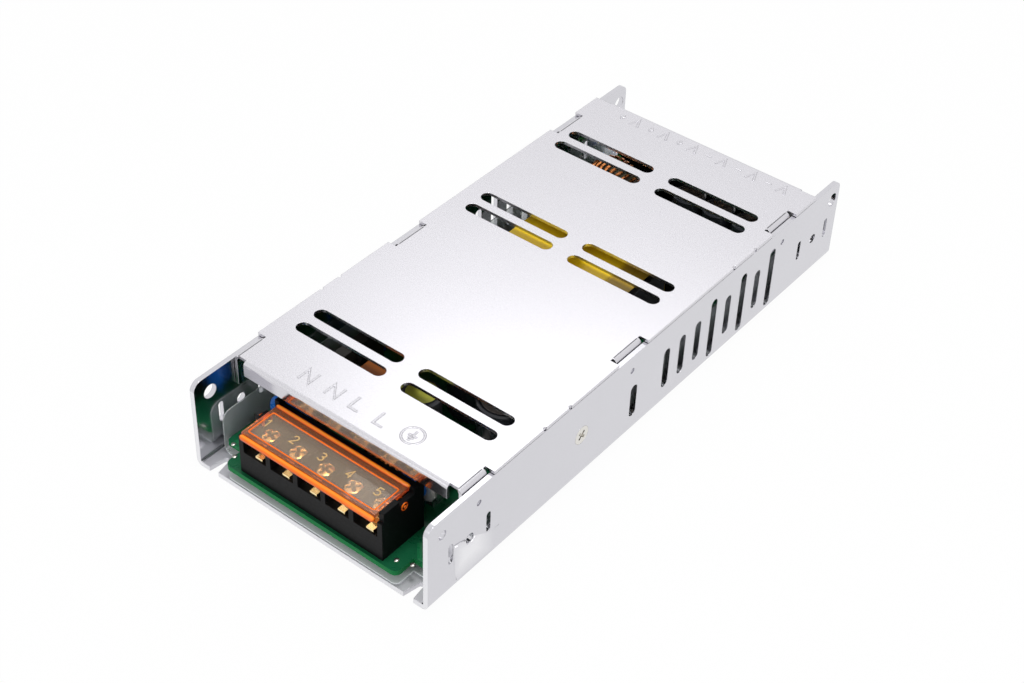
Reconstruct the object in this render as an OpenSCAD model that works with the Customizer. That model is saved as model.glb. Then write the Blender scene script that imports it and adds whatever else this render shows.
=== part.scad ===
// Slim switching power supply in a slotted sheet aluminium case.
// Frame: X across the case, +Y from the AC input end to the DC output end, Z up.
// The origin is at the bottom centre. Lengths are in millimetres.
// A station is a distance along the case measured from the AC end.

/* [Case] */
// Length of the case along Y
case_l = 192; // [190:1:200]
// Width of the case across X
case_w = 82; // [80:1:90]
// Height from the underside to the top of the cover
case_h = 30; // [30:1:36]
// Thickness of the chassis sheet
sheet_t = 1.5; // [1.2:0.1:1.6]
// Outer radius of the two long bends
bend_r = 2; // [1.8:0.1:3]
// Thickness of the cover sheet
cover_t = 1; // [0.8:0.1:1.2]
// Gap between the cover and the top of the walls
cover_gap = 0.2; // [0.1:0.05:0.3]
// Radius of the rounded upper corner of each ear
ear_r = 2.8; // [1:0.1:4]
// Station where the cover begins
cover_start = 14.04; // [13.5:0.1:15]
// Station where the cover ends, measured from the DC end
cover_end = 13; // [12.5:0.1:15]
// Height of the bent front lip of the cover
lip_h = 4.7; // [3:0.1:5.5]
// Distance from the inner face of a wall to the end of a cover lip
lip_inset = 4.3; // [3.5:0.1:8]

/* [Cover tabs] */
// Station of the near side of the AC tab
tab_ac = 14.8; // [14.5:0.1:18]
// Station of the near side of the middle tab
tab_mid = 79; // [70:0.5:95]
// Distance from the DC end to the near side of the DC tab
tab_dc = 37.4; // [30:0.1:40]
// Width of each tab along Y, from the AC end
tab_w = [9.7, 11.4, 10.9]; // [8:0.1:12]
// How far each tab reaches below the top of the cover
tab_drop = 10; // [8:0.5:11]
// Free cut at each side of a tab
tab_relief = 1; // [0.6:0.1:1.4]
// Diameter of the locking dimple
dimple_d = 1.8; // [1.2:0.1:2.4]
// Height of the locking dimple above the underside of the case
dimple_z = 23.5; // [22:0.1:25]

/* [Cover slots] */
// Width of a slot
slot_w = 4.2; // [3:0.1:5]
// Distance from the outer side of the case to a slot
slot_edge = 6.5; // [5:0.1:12]
// Width of the web between the left and the right slots
slot_web = 6.2; // [4:0.1:8]
// Sideways shift of the slot field
slot_shift = -0.85; // [-1.5:0.05:0]
// Station of the first pair of slots
slots_ac = 34.9; // [32:0.1:45]
// Station of the second pair of slots
slots_mid = 106.35; // [95:0.05:110]
// Distance from the DC end to the first slot of the third pair
slots_dc = 42.8; // [40:0.1:50]
// Distance between the two slots of a pair
slot_pitch = 7.1; // [6:0.1:9]

/* [Wall openings] */
// Diameter of the side mounting holes
side_hole_d = 3; // [2.5:0.1:4]
// Station of the side mounting hole at the AC end
side_hole_s = 16.2; // [15:0.1:18]
// Distance of the other side mounting hole from the DC end
side_hole_e = 12.8; // [11:0.1:15]
// Height of the side mounting holes
side_hole_z = 13.7; // [12:0.1:16]
// Diameter of the holes in the ears
ear_hole_d = 4.4; // [3.5:0.1:5]
// Diameter of the smaller hole in the right ear at the AC end
ear_small_d = 2.8; // [2:0.1:4]
// Distance of the ear holes from the AC end
ear_hole_s = 5.6; // [5:0.1:7]
// Distance of the ear holes from the DC end
ear_hole_e = 3.6; // [3.4:0.1:7]
// Height of the ear holes
ear_hole_z = 23.2; // [20:0.1:24]
// Width of the narrow wall slots
narrow_w = 1.7; // [1:0.1:2]
// Stations of the narrow wall slots at the AC end
narrow_ac = [8.8, 23.6]; // [8:0.1:26]
// Distances from the DC end to the narrow wall slots there
narrow_dc = [5.7, 20.8]; // [5:0.1:24]
// Width of the upright vent slots
vent_w = 3; // [2:0.1:4]
// Distance between neighbouring vent slots
vent_pitch = 7.66; // [6:0.01:8]
// Number of the steps between the first, short vent slot and the last one
vent_steps = 9; // [7:1:9]
// Share of the free wall length that lies before the vent slots
vent_share = 0.34; // [0.2:0.02:0.6]

/* [Board] */
// Thickness of the circuit board
board_t = 1.6; // [1.2:0.1:2]
// Height of the standoffs above the chassis floor
standoff_h = 3.3; // [3:0.1:5]
// Outer diameter of a standoff
standoff_d = 6; // [5:0.1:6.5]
// Gap between the board and each wall
board_side = 3.2; // [2.6:0.1:5]
// Gap from each end of the case to the board
board_gap = 0.25; // [0.1:0.05:1]
// Width of the steps in the board's corners at the AC end
step_ac = 5.9; // [3:0.1:8]
// Width of the steps in the board's corners at the DC end
step_dc = 1.7; // [1:0.1:2.4]
// Depth of the steps in the board's corners
tongue_l = 7; // [5:0.1:8]
// Station of the standoffs near the AC end
standoff_ac = 32; // [30:1:34]
// Distance from the DC end to the other standoffs
standoff_dc = 44; // [43:1:47]
// Distance from the board's side to the centre of a standoff
standoff_in = 3.8; // [3.6:0.1:5]
// Thickness of the insulating film
film_t = 0.3; // [0.2:0.05:0.4]
// Height of the film's upright sides above the underside
film_h = 15.3; // [12:0.1:18]

/* [Terminal blocks] */
// Distance between neighbouring poles
pole_pitch = 9.68; // [9:0.01:10]
// Thickness of the walls between the poles
pole_wall = 1.6; // [1.2:0.1:2]
// Number of poles at the AC end
ac_poles = 5; // [3:1:5]
// Largest number of poles at the DC end; a narrow case takes fewer
dc_poles = 6; // [4:1:6]
// Gap from the right side of the board to the DC terminal block
dc_edge = 4.56; // [4:0.02:5]
// Height of the DC terminal block above the board
dc_block_h = 13.8; // [13:0.1:14]
// Gap between the case end and the face of a terminal block
block_in = 1.2; // [1:0.1:2]
// Depth of a terminal block along Y
block_d = 16; // [16:0.1:17]
// Height of a terminal block above the board
block_h = 16; // [16:0.1:17]
// Height of the sill of the wire windows above the board
sill_h = 7.7; // [6:0.1:8]
// Diameter of the terminal screw heads
term_head_d = 6; // [5:0.1:6.4]
// Thickness of the brass plate in each pole
plate_t = 1; // [0.8:0.1:1.2]
// Radius of the hinge pins of the flaps
hinge_r = 0.95; // [0.8:0.05:1.1]
// Radial play of the clips on the hinge pins
hinge_play = 0.06; // [0.03:0.01:0.1]
// Gap between the flap and the end walls of its block
flap_gap = 0.2; // [0.1:0.05:0.4]

/* [Heat bars] */
// Thickness of the aluminium heat bars
bar_t = 5; // [4:0.5:6]
// Length of the bar on the right wall
bar_l = 31; // [30:1:31]
// Height of the heat bars
bar_h = 15; // [14:0.5:16]
// Station of the screw that holds the bar on the right wall
bar_screw_s = 62.6; // [60:0.1:64]
// Height of that screw
bar_screw_z = 15.6; // [15:0.1:17]
// Diameter of the countersunk head of that screw
side_head_d = 5.7; // [5:0.1:6.5]
// Diameter of the thread of the machine screws
screw_d = 3; // [2.5:0.1:3]

/* [Magnetics] */
// Width of the power transformer across X
trafo_w = 43; // [38:0.5:46]
// Length of the power transformer along Y
trafo_l = 28; // [24:0.5:30]
// Number of turns of the output choke
choke_turns = 28; // [16:1:30]
// Diameter of the output choke's wire
choke_wire = 1; // [0.8:0.05:1.05]
// Number of turns in each half of the common mode choke
filter_turns = 9; // [5:1:10]
// Diameter of the common mode choke's wire
filter_wire = 0.9; // [0.7:0.05:1]

/* [Capacitors] */
// Diameter of the two bulk capacitors
bulk_d = 16; // [14:0.5:17]
// Height of the two bulk capacitors
bulk_h = 20; // [18:0.5:21]
// Diameter of the output capacitors
output_d = 10; // [8:0.5:10]
// Distance between neighbouring output capacitors
output_pitch = 10.6; // [10.6:0.1:12]
// Height of the output capacitors
output_h = 17.6; // [14:0.2:20]
// Height of the X capacitor
x_cap_h = 17.6; // [14:0.2:20]

/* [Hidden] */
$fn = 48;

// Colours
metal = "gainsboro";
brass = "goldenrod";
black = "#202022";
green = "#0e6b3e";
orange = "#f0661e";
copper = "#b4622d";
tape = "#d8b81e";

// Plan sizes of bought parts
trimmer_w = 6;
y_cap_d = 8.4;
varistor_d = 13;
thermistor_d = 9;
x_cap_w = 13;
x_cap_l = 10;
sleeve_d = 11.4;
bridge_l = 20;
small_can_d = 6.3;
small_can_h = 11;
drive_w = 13;
drive_l = 11;
chip_w = 6.4;

// Levels and edges that several pieces share
cut = 1;
play = 0.1;
board_z = sheet_t + standoff_h;
board_top = board_z + board_t;
wall_top = case_h - cover_t - cover_gap;
inner_half = case_w / 2 - sheet_t;
fold_r = cover_t + 0.3;
tab_play = 0.2;
tab_outer = inner_half - tab_play;
board_half = inner_half - board_side;
film_half = board_half + 1.1;
tongue_half = board_half - step_ac;
dc_tongue_half = board_half - step_dc;
standoff_x = board_half - standoff_in;
standoff_at = [standoff_ac, case_l - standoff_dc];
lip_half = inner_half - lip_inset;
slot_l = case_w / 2 - slot_edge - slot_web / 2;
tab_at = [tab_ac, tab_mid, case_l - tab_dc];
slot_rows = [slots_ac, slots_mid, case_l - slots_dc];
narrow_at = concat(narrow_ac, [for (e = narrow_dc) case_l - e]);
shank_d = screw_d - play;
tap_d = screw_d;
pass_d = screw_d + 2 * play;

// Height above the base of the low end and the high end of each kind of wall slot
narrow_z = [10.4, 17.2];
vent_short_z = [6, 17.2];
vent_mid_z = [6.3, 20.2];
vent_long_z = [2.6, 23.6];

// Vent slots stand in the wall between the heat bar and the narrow slot at the DC end
vent_from = bar_screw_s + bar_l / 2;
vent_to = narrow_at[3];
vent_start = vent_from + vent_share * (vent_to - vent_from - vent_steps * vent_pitch);
vent_mid = [2, 3, 4, 6, 8];
vent_long = [5, 7, 9];

// Shallow nicks that the shearing tool left in the edges of the cover
nicks_right = [46, 56.7, case_l - 58.6, case_l - 47.4];
nicks_left = [50.2, 57.5];

// Tapered end notches of the chassis floor
notch_mouth = [inner_half - 6.8, inner_half - 3.15];
notch_tip_x = inner_half - 4.8;
notch_tip_s = 4.6;
notch_tip_r = 0.9;

// Y coordinate of a station
function st(s) = s - case_l / 2;

// Sign with zero taken as positive
// Rectangle with round corners, from its low corner to its high corner
module round_rect(low, high, r) {
    translate([low[0] + r, low[1]]) square([high[0] - low[0] - 2 * r, high[1] - low[1]]);
    translate([low[0], low[1] + r]) square([high[0] - low[0], high[1] - low[1] - 2 * r]);
    for (x = [low[0] + r, high[0] - r])
        for (y = [low[1] + r, high[1] - r])
            translate([x, y]) circle(r = r);
}

// Rod along X that starts at the given point
module rod_x(p, d, l) {
    translate(p) rotate([0, 90, 0]) cylinder(d = d, h = l);
}

// Rod along Y that starts at the given point
module rod_y(p, d, l) {
    translate(p) rotate([-90, 0, 0]) cylinder(d = d, h = l);
}

// Drawn shape in X and Z, pulled along Y between two stations
module along_y(s0, s1) {
    translate([0, st(s1), 0]) rotate([90, 0, 0]) linear_extrude(s1 - s0) children();
}

// Machine screw that points down, with its head's underside at the origin
module pan_screw(head_d, head_h, shank, slot) {
    difference() {
        cylinder(d = head_d, h = head_h);
        for (a = [0, 90])
            rotate([0, 0, a]) translate([-slot / 2, -0.4, head_h / 2]) cube([slot, 0.8, head_h]);
    }
    translate([0, 0, -shank]) cylinder(d = shank_d, h = shank + head_h / 4);
}

module mirrored_x() {
    children();
    mirror([1, 0, 0]) children();
}

module both_ends() {
    children();
    mirror([0, 1, 0]) children();
}

// The U channel is one sheet: floor and two walls with the ears at their ends
module chassis_section() {
    difference() {
        union() {
            translate([-case_w / 2, bend_r]) square([case_w, wall_top - bend_r]);
            translate([-case_w / 2 + bend_r, 0]) square([case_w - 2 * bend_r, bend_r]);
            for (x = [-1, 1]) translate([x * (case_w / 2 - bend_r), bend_r]) circle(r = bend_r);
        }
        translate([-inner_half, bend_r]) square([2 * inner_half, wall_top]);
        translate([-case_w / 2 + bend_r, sheet_t]) square([case_w - 2 * bend_r, wall_top]);
        for (x = [-1, 1]) translate([x * (case_w / 2 - bend_r), bend_r]) circle(r = bend_r - sheet_t);
    }
}

// Cutter for an upright slot with round ends through the right wall
module wall_slot(s, z, w) {
    reach = sheet_t + 2 * cut;
    for (level = [z[0] + w / 2, z[1] - w / 2]) rod_x([inner_half - cut, st(s), level], w, reach);
    translate([inner_half - cut, st(s) - w / 2, z[0] + w / 2]) cube([reach, w, z[1] - z[0] - w]);
}

module wall_openings(ac_ear_d) {
    for (s = narrow_at) wall_slot(s, narrow_z, narrow_w);
    for (i = vent_mid) wall_slot(vent_start + i * vent_pitch, vent_mid_z, vent_w);
    for (i = vent_long) wall_slot(vent_start + i * vent_pitch, vent_long_z, vent_w);
    wall_slot(vent_start, vent_short_z, vent_w);
    for (s = [side_hole_s, case_l - side_hole_e])
        rod_x([inner_half - cut, st(s), side_hole_z], side_hole_d, sheet_t + 2 * cut);
    rod_x([inner_half - cut, st(ear_hole_s), ear_hole_z], ac_ear_d, sheet_t + 2 * cut);
    rod_x([inner_half - cut, st(case_l - ear_hole_e), ear_hole_z], ear_hole_d, sheet_t + 2 * cut);
    for (i = [0:2])
        rod_x([case_w / 2 - 0.6, st(tab_at[i] + tab_w[i] / 2), dimple_z], dimple_d, cut);
}

// Tapered slot between the floor and the foot of each wall, at the ends
module end_notch() {
    translate([0, st(0), -cut]) linear_extrude(sheet_t + 2 * cut) {
        polygon([
            [notch_mouth[0], -cut],
            [notch_mouth[1], -cut],
            [notch_tip_x + notch_tip_r, notch_tip_s],
            [notch_tip_x - notch_tip_r, notch_tip_s]
        ]);
        translate([notch_tip_x, notch_tip_s]) circle(r = notch_tip_r);
    }
}

// Cutter that rounds the upper corners of both ears at one end
module ear_corner() {
    difference() {
        translate([-case_w / 2 - cut, st(0) - cut, wall_top - ear_r])
            cube([case_w + 2 * cut, ear_r + cut, ear_r + cut]);
        rod_x([-case_w / 2 - 2 * cut, st(ear_r), wall_top - ear_r], 2 * ear_r, case_w + 4 * cut);
    }
}

module chassis() {
    color(metal) {
        difference() {
            along_y(0, case_l) chassis_section();
            wall_openings(ear_small_d);
            mirror([1, 0, 0]) wall_openings(ear_hole_d);
            mirrored_x() both_ends() end_notch();
            both_ends() ear_corner();
            rod_x([inner_half - cut, st(bar_screw_s), bar_screw_z], pass_d, sheet_t + 2 * cut);
            translate([case_w / 2 - sheet_t, st(bar_screw_s), bar_screw_z]) rotate([0, 90, 0])
                cylinder(d1 = side_head_d - 2 * sheet_t, d2 = side_head_d + play, h = sheet_t + 0.001);
        }
        mirrored_x() for (i = [0:2])
            rod_x([inner_half - tab_play - 0.6, st(tab_at[i] + tab_w[i] / 2), dimple_z], dimple_d, 1);
    }
}

// Sheet bent down along an edge: outer face at y = 0, top face at z = 0
module bent_edge(w, drop) {
    translate([-w / 2, 0, -drop]) cube([w, cover_t, drop - fold_r]);
    intersection() {
        difference() {
            rod_x([-w / 2, fold_r, -fold_r], 2 * fold_r, w);
            rod_x([-w / 2 - cut, fold_r, -fold_r], 2 * (fold_r - cover_t), w + 2 * cut);
        }
        translate([-w / 2, 0, -fold_r]) cube([w, fold_r, fold_r]);
    }
}

module cover_slot(x0, s) {
    r = slot_w / 2;
    translate([x0 + r, st(s) - r]) square([slot_l - slot_w, slot_w]);
    for (x = [x0 + r, x0 + slot_l - r]) translate([x, st(s)]) circle(r = r);
}

// Flat part of the cover, seen from above
module cover_plan() {
    sheet_edge = tab_outer - fold_r;
    difference() {
        union() {
            translate([-case_w / 2, st(cover_start + fold_r)])
                square([case_w, case_l - cover_start - cover_end - 2 * fold_r]);
        }
        for (row = slot_rows)
            for (s = [row, row + slot_pitch])
                for (x0 = [-slot_web / 2 - slot_l, slot_web / 2]) cover_slot(slot_shift + x0, s);
        for (i = [0:2])
            for (x = [-1, 1])
                translate([x * (sheet_edge + case_w) - case_w, st(tab_at[i] - tab_relief)])
                    square([2 * case_w, tab_w[i] + 2 * tab_relief]);
        for (s = nicks_right) translate([case_w / 2, st(s)]) circle(r = 0.6);
        for (s = nicks_left) translate([-case_w / 2, st(s)]) circle(r = 0.6);
    }
}

module cover_tab(i) {
    difference() {
        middle = st(tab_at[i] + tab_w[i] / 2);
        translate([tab_outer, middle, case_h]) rotate([0, 0, 90]) bent_edge(tab_w[i], tab_drop);
        rod_x([tab_outer - cover_t - cut, middle, dimple_z], dimple_d + 0.6, cover_t + 2 * cut);
    }
}

module top_cover() {
    color(metal) {
        translate([0, 0, case_h - cover_t]) linear_extrude(cover_t) cover_plan();
        mirrored_x() for (i = [0:2]) cover_tab(i);
        translate([0, st(cover_start), case_h]) bent_edge(2 * lip_half, lip_h);
        translate([0, -st(cover_end), case_h]) rotate([0, 0, 180]) bent_edge(2 * lip_half, lip_h);
    }
}

// Upright film side with round upper corners, on the right
module film_side() {
    r = 3;
    translate([film_half - film_t, 0, 0]) rotate([90, 0, 90]) linear_extrude(film_t)
        difference() {
            round_rect([st(tongue_l), sheet_t], [-st(tongue_l), film_h], r);
            translate([st(0), 0]) square([case_l, sheet_t + 3]);
        }
    translate([film_half - film_t, st(tongue_l), sheet_t + 2]) cube([film_t, case_l - 2 * tongue_l, 2]);
}

module insulating_film() {
    bend = 2;
    color("white", 0.6) {
        difference() {
            union() {
                translate([0, 0, sheet_t]) linear_extrude(film_t) {
                    translate([-film_half + bend, st(tongue_l)])
                        square([2 * (film_half - bend), case_l - 2 * tongue_l]);
                    round_rect([-tongue_half, st(2 * board_gap)], [tongue_half, -st(2 * board_gap)], 2);
                }
                mirrored_x() film_side();
                mirrored_x() intersection() {
                    difference() {
                        rod_y([film_half - bend, st(tongue_l), sheet_t + bend], 2 * bend, case_l - 2 * tongue_l);
                        rod_y([film_half - bend, st(0), sheet_t + bend], 2 * (bend - film_t), case_l);
                    }
                    translate([film_half - bend, st(0), sheet_t]) cube([bend, case_l, bend]);
                }
            }
            for (s = standoff_at)
                for (x = [-1, 1])
                    translate([x * standoff_x, st(s), 0]) cylinder(d = standoff_d + 0.6, h = board_z);
            translate([film_half - 2 * film_t, st(bar_screw_s - bar_l / 2 - 1), board_top])
                cube([cut, bar_l + 2, film_h]);
        }
    }
}

module circuit_board() {
    color(green) translate([0, 0, board_z]) linear_extrude(board_t) difference() {
        union() {
            round_rect([-board_half, st(tongue_l)], [board_half, -st(tongue_l)], 1);
            round_rect([-tongue_half, st(board_gap)], [tongue_half, 0], 2);
            round_rect([-dc_tongue_half, 0], [dc_tongue_half, -st(board_gap)], 2);
        }
        for (s = standoff_at) for (x = [-1, 1]) translate([x * standoff_x, st(s)]) circle(d = pass_d);
    }
}

module at_standoffs() {
    for (s = standoff_at)
        for (x = [-1, 1])
            translate([x * standoff_x, st(s), 0]) children();
}

module board_standoffs() {
    color("silver") at_standoffs() translate([0, 0, sheet_t]) difference() {
        cylinder(d = standoff_d, h = standoff_h);
        translate([0, 0, -cut]) cylinder(d = tap_d, h = standoff_h + 2 * cut);
    }
}

module board_screws() {
    color("silver") at_standoffs() translate([0, 0, board_top])
        pan_screw(standoff_d - 0.6, 2, board_t + standoff_h - 0.4, 3.2);
}

// Terminal blocks are drawn with their face at y = 0 and their foot on z = 0
block_face = block_in;
chamber_l = 8.1;
floor_l = 9.6;
well_drop = 0.9;
partition_h = 14.1;
well_end = block_d - 1.65;
hinge_y = 8.4;
hinge_z = 13.2;
end_low = 13;
screw_y = 6.3;
tongue_shift = 1.2;
pin_l = 1.2;

// The DC block has no flap: its end walls and partitions share one height
function block_half(n) = (n * pole_pitch + pole_wall) / 2;
function pole_x(i, n) = (i - (n - 1) / 2) * pole_pitch;

module at_poles(n) {
    for (i = [0:n - 1]) translate([pole_x(i, n), 0, 0]) children();
}

module terminal_body(n, tall) {
    half = block_half(n);
    gap = pole_pitch - pole_wall;
    inside = half - pole_wall;
    color(black) difference() {
        translate([-half, 0, 0]) cube([2 * half, block_d, tall]);
        at_poles(n) translate([-gap / 2, -cut, sill_h]) cube([gap, chamber_l + 2 * cut, block_h]);
        translate([-inside, chamber_l, sill_h]) cube([2 * inside, floor_l - chamber_l + play, block_h]);
        translate([-inside, floor_l, sill_h - well_drop]) cube([2 * inside, well_end - floor_l, block_h]);
        translate([-inside, -cut, partition_h]) cube([2 * inside, block_d + 2 * cut, block_h]);
        translate([-half - cut, -cut, end_low]) cube([2 * half + 2 * cut, cut + 0.8, block_h]);
        translate([-half - cut, hinge_y - 1.7, hinge_z + 1.2]) cube([2 * half + 2 * cut, 5.6, block_h]);
        at_poles(n) translate([0, screw_y, sill_h - 5]) cylinder(d = tap_d, h = 5 + cut);
    }
}

module hinge_pins(n) {
    inside = block_half(n) - pole_wall;
    for (x = [-inside - play, inside - pin_l]) rod_x([x, hinge_y, hinge_z], 2 * hinge_r, pin_l + play);
}

module terminal_plates(n) {
    w = pole_pitch - pole_wall - 1.5;
    color(brass) at_poles(n) translate([0, 0, sill_h]) difference() {
        union() {
            translate([-w / 2, 2.2, 0]) cube([w, floor_l - 2.4, plate_t]);
            translate([tongue_shift - 1.2, 0.3, 0]) cube([2.4, 2, plate_t]);
        }
        translate([0, screw_y, -cut]) cylinder(d = pass_d, h = plate_t + 2 * cut);
    }
}

clamp_t = 0.9;

// Square pressure plate with two turned down edges that grip the wire
module terminal_clamps(n) {
    w = pole_pitch - pole_wall - 1.7;
    color(brass) at_poles(n) translate([0, screw_y, sill_h + plate_t]) difference() {
        translate([-w / 2, -w / 2 + 0.4, 0]) cube([w, w - 0.8, clamp_t + 0.4]);
        translate([-w / 2 - cut, -w / 2 + 1.2, -cut]) cube([w + 2 * cut, w - 2.4, cut + 0.4]);
        translate([0, 0, -cut]) cylinder(d = pass_d, h = clamp_t + 2 * cut);
    }
}

module terminal_screws(n) {
    color(brass) at_poles(n) translate([0, screw_y, sill_h + plate_t + clamp_t + 0.4])
        pan_screw(term_head_d - 0.8, 1.9, plate_t + clamp_t + 4, 3.4);
}

panel_z = 14.6;
panel_t = 0.9;
front_bar = [-0.7, 14.5];
front_bar_d = 2.2;
rear_bar = [12.7, 15.4];
rear_bar_d = 1.6;
clip_w = 0.9;
clip_r = 1.95;

// Hinged flap: clear panel in a raised frame, a bar at each long edge and a clip on each pin
module terminal_cover(n) {
    half = block_half(n) - pole_wall - flap_gap;
    color(orange, 0.7) {
        rod_x([-half, front_bar[0], front_bar[1]], front_bar_d, 2 * half);
        rod_x([-half, rear_bar[0], rear_bar[1]], rear_bar_d, 2 * half);
        difference() {
            translate([-half, front_bar[0], panel_z])
                cube([2 * half, rear_bar[0] - front_bar[0], panel_t + 0.4]);
            translate([-half + 1.6, 1, panel_z + panel_t]) cube([2 * half - 3.2, 8.8, cut]);
            translate([-half + 2.4, rear_bar[0] - 2.1, panel_z + panel_t])
                cube([2 * half - 4.8, 1.3, cut]);
        }
        for (x = [-half, half - clip_w]) difference() {
            rod_x([x, hinge_y, hinge_z], 2 * clip_r, clip_w);
            rod_x([x - cut, hinge_y, hinge_z], 2 * (hinge_r + hinge_play), clip_w + 2 * cut);
            translate([x - cut, hinge_y - hinge_r * 0.85, hinge_z - 2 * clip_r])
                cube([clip_w + 2 * cut, hinge_r * 1.7, 2 * clip_r]);
        }
    }
}

dc_room = 2 * board_half - dc_edge - trimmer_w - 2.2 - pole_wall;
dc_count = min(dc_poles, floor(dc_room / pole_pitch));
dc_x = board_half - dc_edge - block_half(dc_count);

module ac_end() {
    translate([0, st(block_face), board_top]) children();
}

module dc_end() {
    translate([dc_x, -st(block_face), board_top]) rotate([0, 0, 180]) children();
}

// The left end wall of the AC block is cut down beside the flap, up to its foot for the hinge pin
module low_end_wall(n) {
    for (y = [[-cut, hinge_y - 2.2], [hinge_y + 2.2, rear_bar[0] + 1]])
        translate([-block_half(n) - cut, y[0], end_low]) cube([cut + pole_wall + play, y[1] - y[0], block_h]);
}

module ac_terminal_body() {
    ac_end() {
        color(black) difference() {
            terminal_body(ac_poles, block_h);
            low_end_wall(ac_poles);
        }
        color(black) hinge_pins(ac_poles);
    }
}
module ac_terminal_plates() { ac_end() terminal_plates(ac_poles); }
module ac_terminal_clamps() { ac_end() terminal_clamps(ac_poles); }
module ac_terminal_screws() { ac_end() terminal_screws(ac_poles); }
module ac_terminal_cover() { ac_end() terminal_cover(ac_poles); }
module dc_terminal_body() { dc_end() terminal_body(dc_count, dc_block_h); }
module dc_terminal_plates() { dc_end() terminal_plates(dc_count); }
module dc_terminal_clamps() { dc_end() terminal_clamps(dc_count); }
module dc_terminal_screws() { dc_end() terminal_screws(dc_count); }

// Transistor housing: its metal back lies on the plane x = 0, the body reaches to -x
package_w = 10;
package_h = 15.6;
package_t = 4.4;
lead_t = 0.8;
bar_low = bar_screw_z - bar_h / 2;
package_low = bar_low + 0.3;
package_hole = 12.6;

module transistor() {
    color("#2a2a2c") difference() {
        union() {
            translate([-package_t, -package_w / 2, package_low]) cube([package_t, package_w, 9.2]);
            translate([-1.3, -package_w / 2, package_low]) cube([1.3, package_w, package_h - 1]);
            for (y = [-2.54, 0, 2.54])
                translate([-2.6, y - lead_t / 2, board_top])
                    cube([0.6, lead_t, package_low - board_top + 0.5]);
        }
        rod_x([-package_t - cut, 0, package_low + package_hole], pass_d, package_t + 2 * cut);
    }
}

// Holes for transistor screws, drilled into a bar's face at x = 0
module tapped(s) {
    rod_x([-cut, s, package_low + package_hole], tap_d, 4 + cut);
}

// The two transistors stand side by side at the far end of the bar, behind a bulk capacitor
power_at = [for (i = [1.5, 0.5]) bar_screw_s + bar_l / 2 - i * package_w];
wall_bar_x = inner_half - bar_t;

module primary_heat_bar() {
    color("silver") difference() {
        translate([wall_bar_x, st(bar_screw_s - bar_l / 2), bar_low]) cube([bar_t, bar_l, bar_h]);
        translate([wall_bar_x, 0, 0]) for (s = power_at) tapped(st(s));
        rod_x([wall_bar_x - cut, st(bar_screw_s), bar_screw_z], tap_d, bar_t + 2 * cut);
    }
}

module power_transistors() {
    for (s = power_at) translate([wall_bar_x, st(s), 0]) transistor();
}

// Standing bar across the board behind the transformer, for the three output rectifiers
cross_bar_l = 52;
rectifier_x = [-17, 0, 17];

module secondary_heat_bar() {
    color("silver") difference() {
        union() {
            translate([-cross_bar_l / 2, st(cross_bar_s), bar_low]) cube([cross_bar_l, bar_t, bar_h]);
            for (x = [-1, 1]) translate([x * (cross_bar_l / 2 - 4), st(cross_bar_s) + bar_t / 2, board_top])
                cylinder(d = 3, h = bar_low - board_top);
        }
        for (x = rectifier_x) translate([x, st(cross_bar_s), 0]) rotate([0, 0, 90]) tapped(0);
    }
}

module output_rectifiers() {
    for (x = rectifier_x) translate([x, st(cross_bar_s), 0]) rotate([0, 0, 90]) transistor();
}

module transistor_screws() {
    color("silver") {
        for (s = power_at) translate([wall_bar_x - 1.3, st(s), package_low + package_hole])
            rotate([0, -90, 0]) pan_screw(5, 1.8, 4.6, 3);
        for (x = rectifier_x) translate([x, st(cross_bar_s) - 1.3, package_low + package_hole])
            rotate([90, 0, 0]) pan_screw(5, 1.8, 4.6, 3);
    }
}

// Countersunk cross screw through the right wall into the heat bar
module side_screw() {
    color("silver") translate([case_w / 2, st(bar_screw_s), bar_screw_z]) rotate([0, 90, 0]) difference() {
        union() {
            translate([0, 0, -sheet_t])
                cylinder(d1 = side_head_d - 2 * sheet_t, d2 = side_head_d, h = sheet_t);
            translate([0, 0, -sheet_t - bar_t + 0.5]) cylinder(d = shank_d, h = sheet_t + bar_t - 1);
        }
        for (a = [45, 135]) rotate([0, 0, a]) translate([-1.6, -0.4, -1]) cube([3.2, 0.8, 1 + cut]);
    }
}

// Pieces stand on the board in groups. Those of the input side count from the AC end or from
// a wall, and the free length up to the DC block is shared out between the other groups.
input_end = 94.8;
rectifier_l = package_t + bar_t;
output_l = 15;
dc_front = case_l - block_in - block_d;
free_l = dc_front - input_end - trafo_l - rectifier_l - output_l;
gap_share = [0.2, 0.17, 0.34, 0.29];
trafo_s = input_end + gap_share[0] * free_l + trafo_l / 2;
cross_bar_s = trafo_s + trafo_l / 2 + gap_share[1] * free_l + package_t;
output_s = cross_bar_s + bar_t + gap_share[2] * free_l;

// Places on the board as x and station
bulk_x = wall_bar_x - 3 - bulk_d / 2;
bulk_at = [[bulk_x, 51.7], [bulk_x - bulk_d - 1.5, 61]];
fuse_at = [20.5, 33.2];
thermistor_at = [-21, 27];
varistor_at = [12.3 - board_half, 19.7];
y_cap_at = [[18.5, 19.6], [5.3 - board_half, 62]];
x_cap_at = [-8.9, 38.5];
filter_choke_at = [x_cap_at[0] + x_cap_w / 2 + 0.4 + sleeve_d / 2, 41];
common_mode_at = [7, 26.8];
bridge_at = [-24, 45];
drive_at = [-22, 70];
chip_at = [-5, 81];
opto_at = [[-13, 91.5], [-3, 91.5]];
small_cap_at = [[10, 76], [18, 76], [12, 90], [23, 90]];
resistor_at = [for (s = [81, 87, 93]) [8.3 - board_half, s]];
choke_at = [-18.5, output_s + 5.2];
output_at = [board_half - 3.3 - output_d / 2 - output_pitch, output_s + 9.7];
trimmer_at = [4.9 - board_half, case_l - 5.7];
led_at = [4.9 - board_half, case_l - 11.6];

module on_board(p) {
    translate([p[0], st(p[1]), board_top]) children();
}

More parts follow.
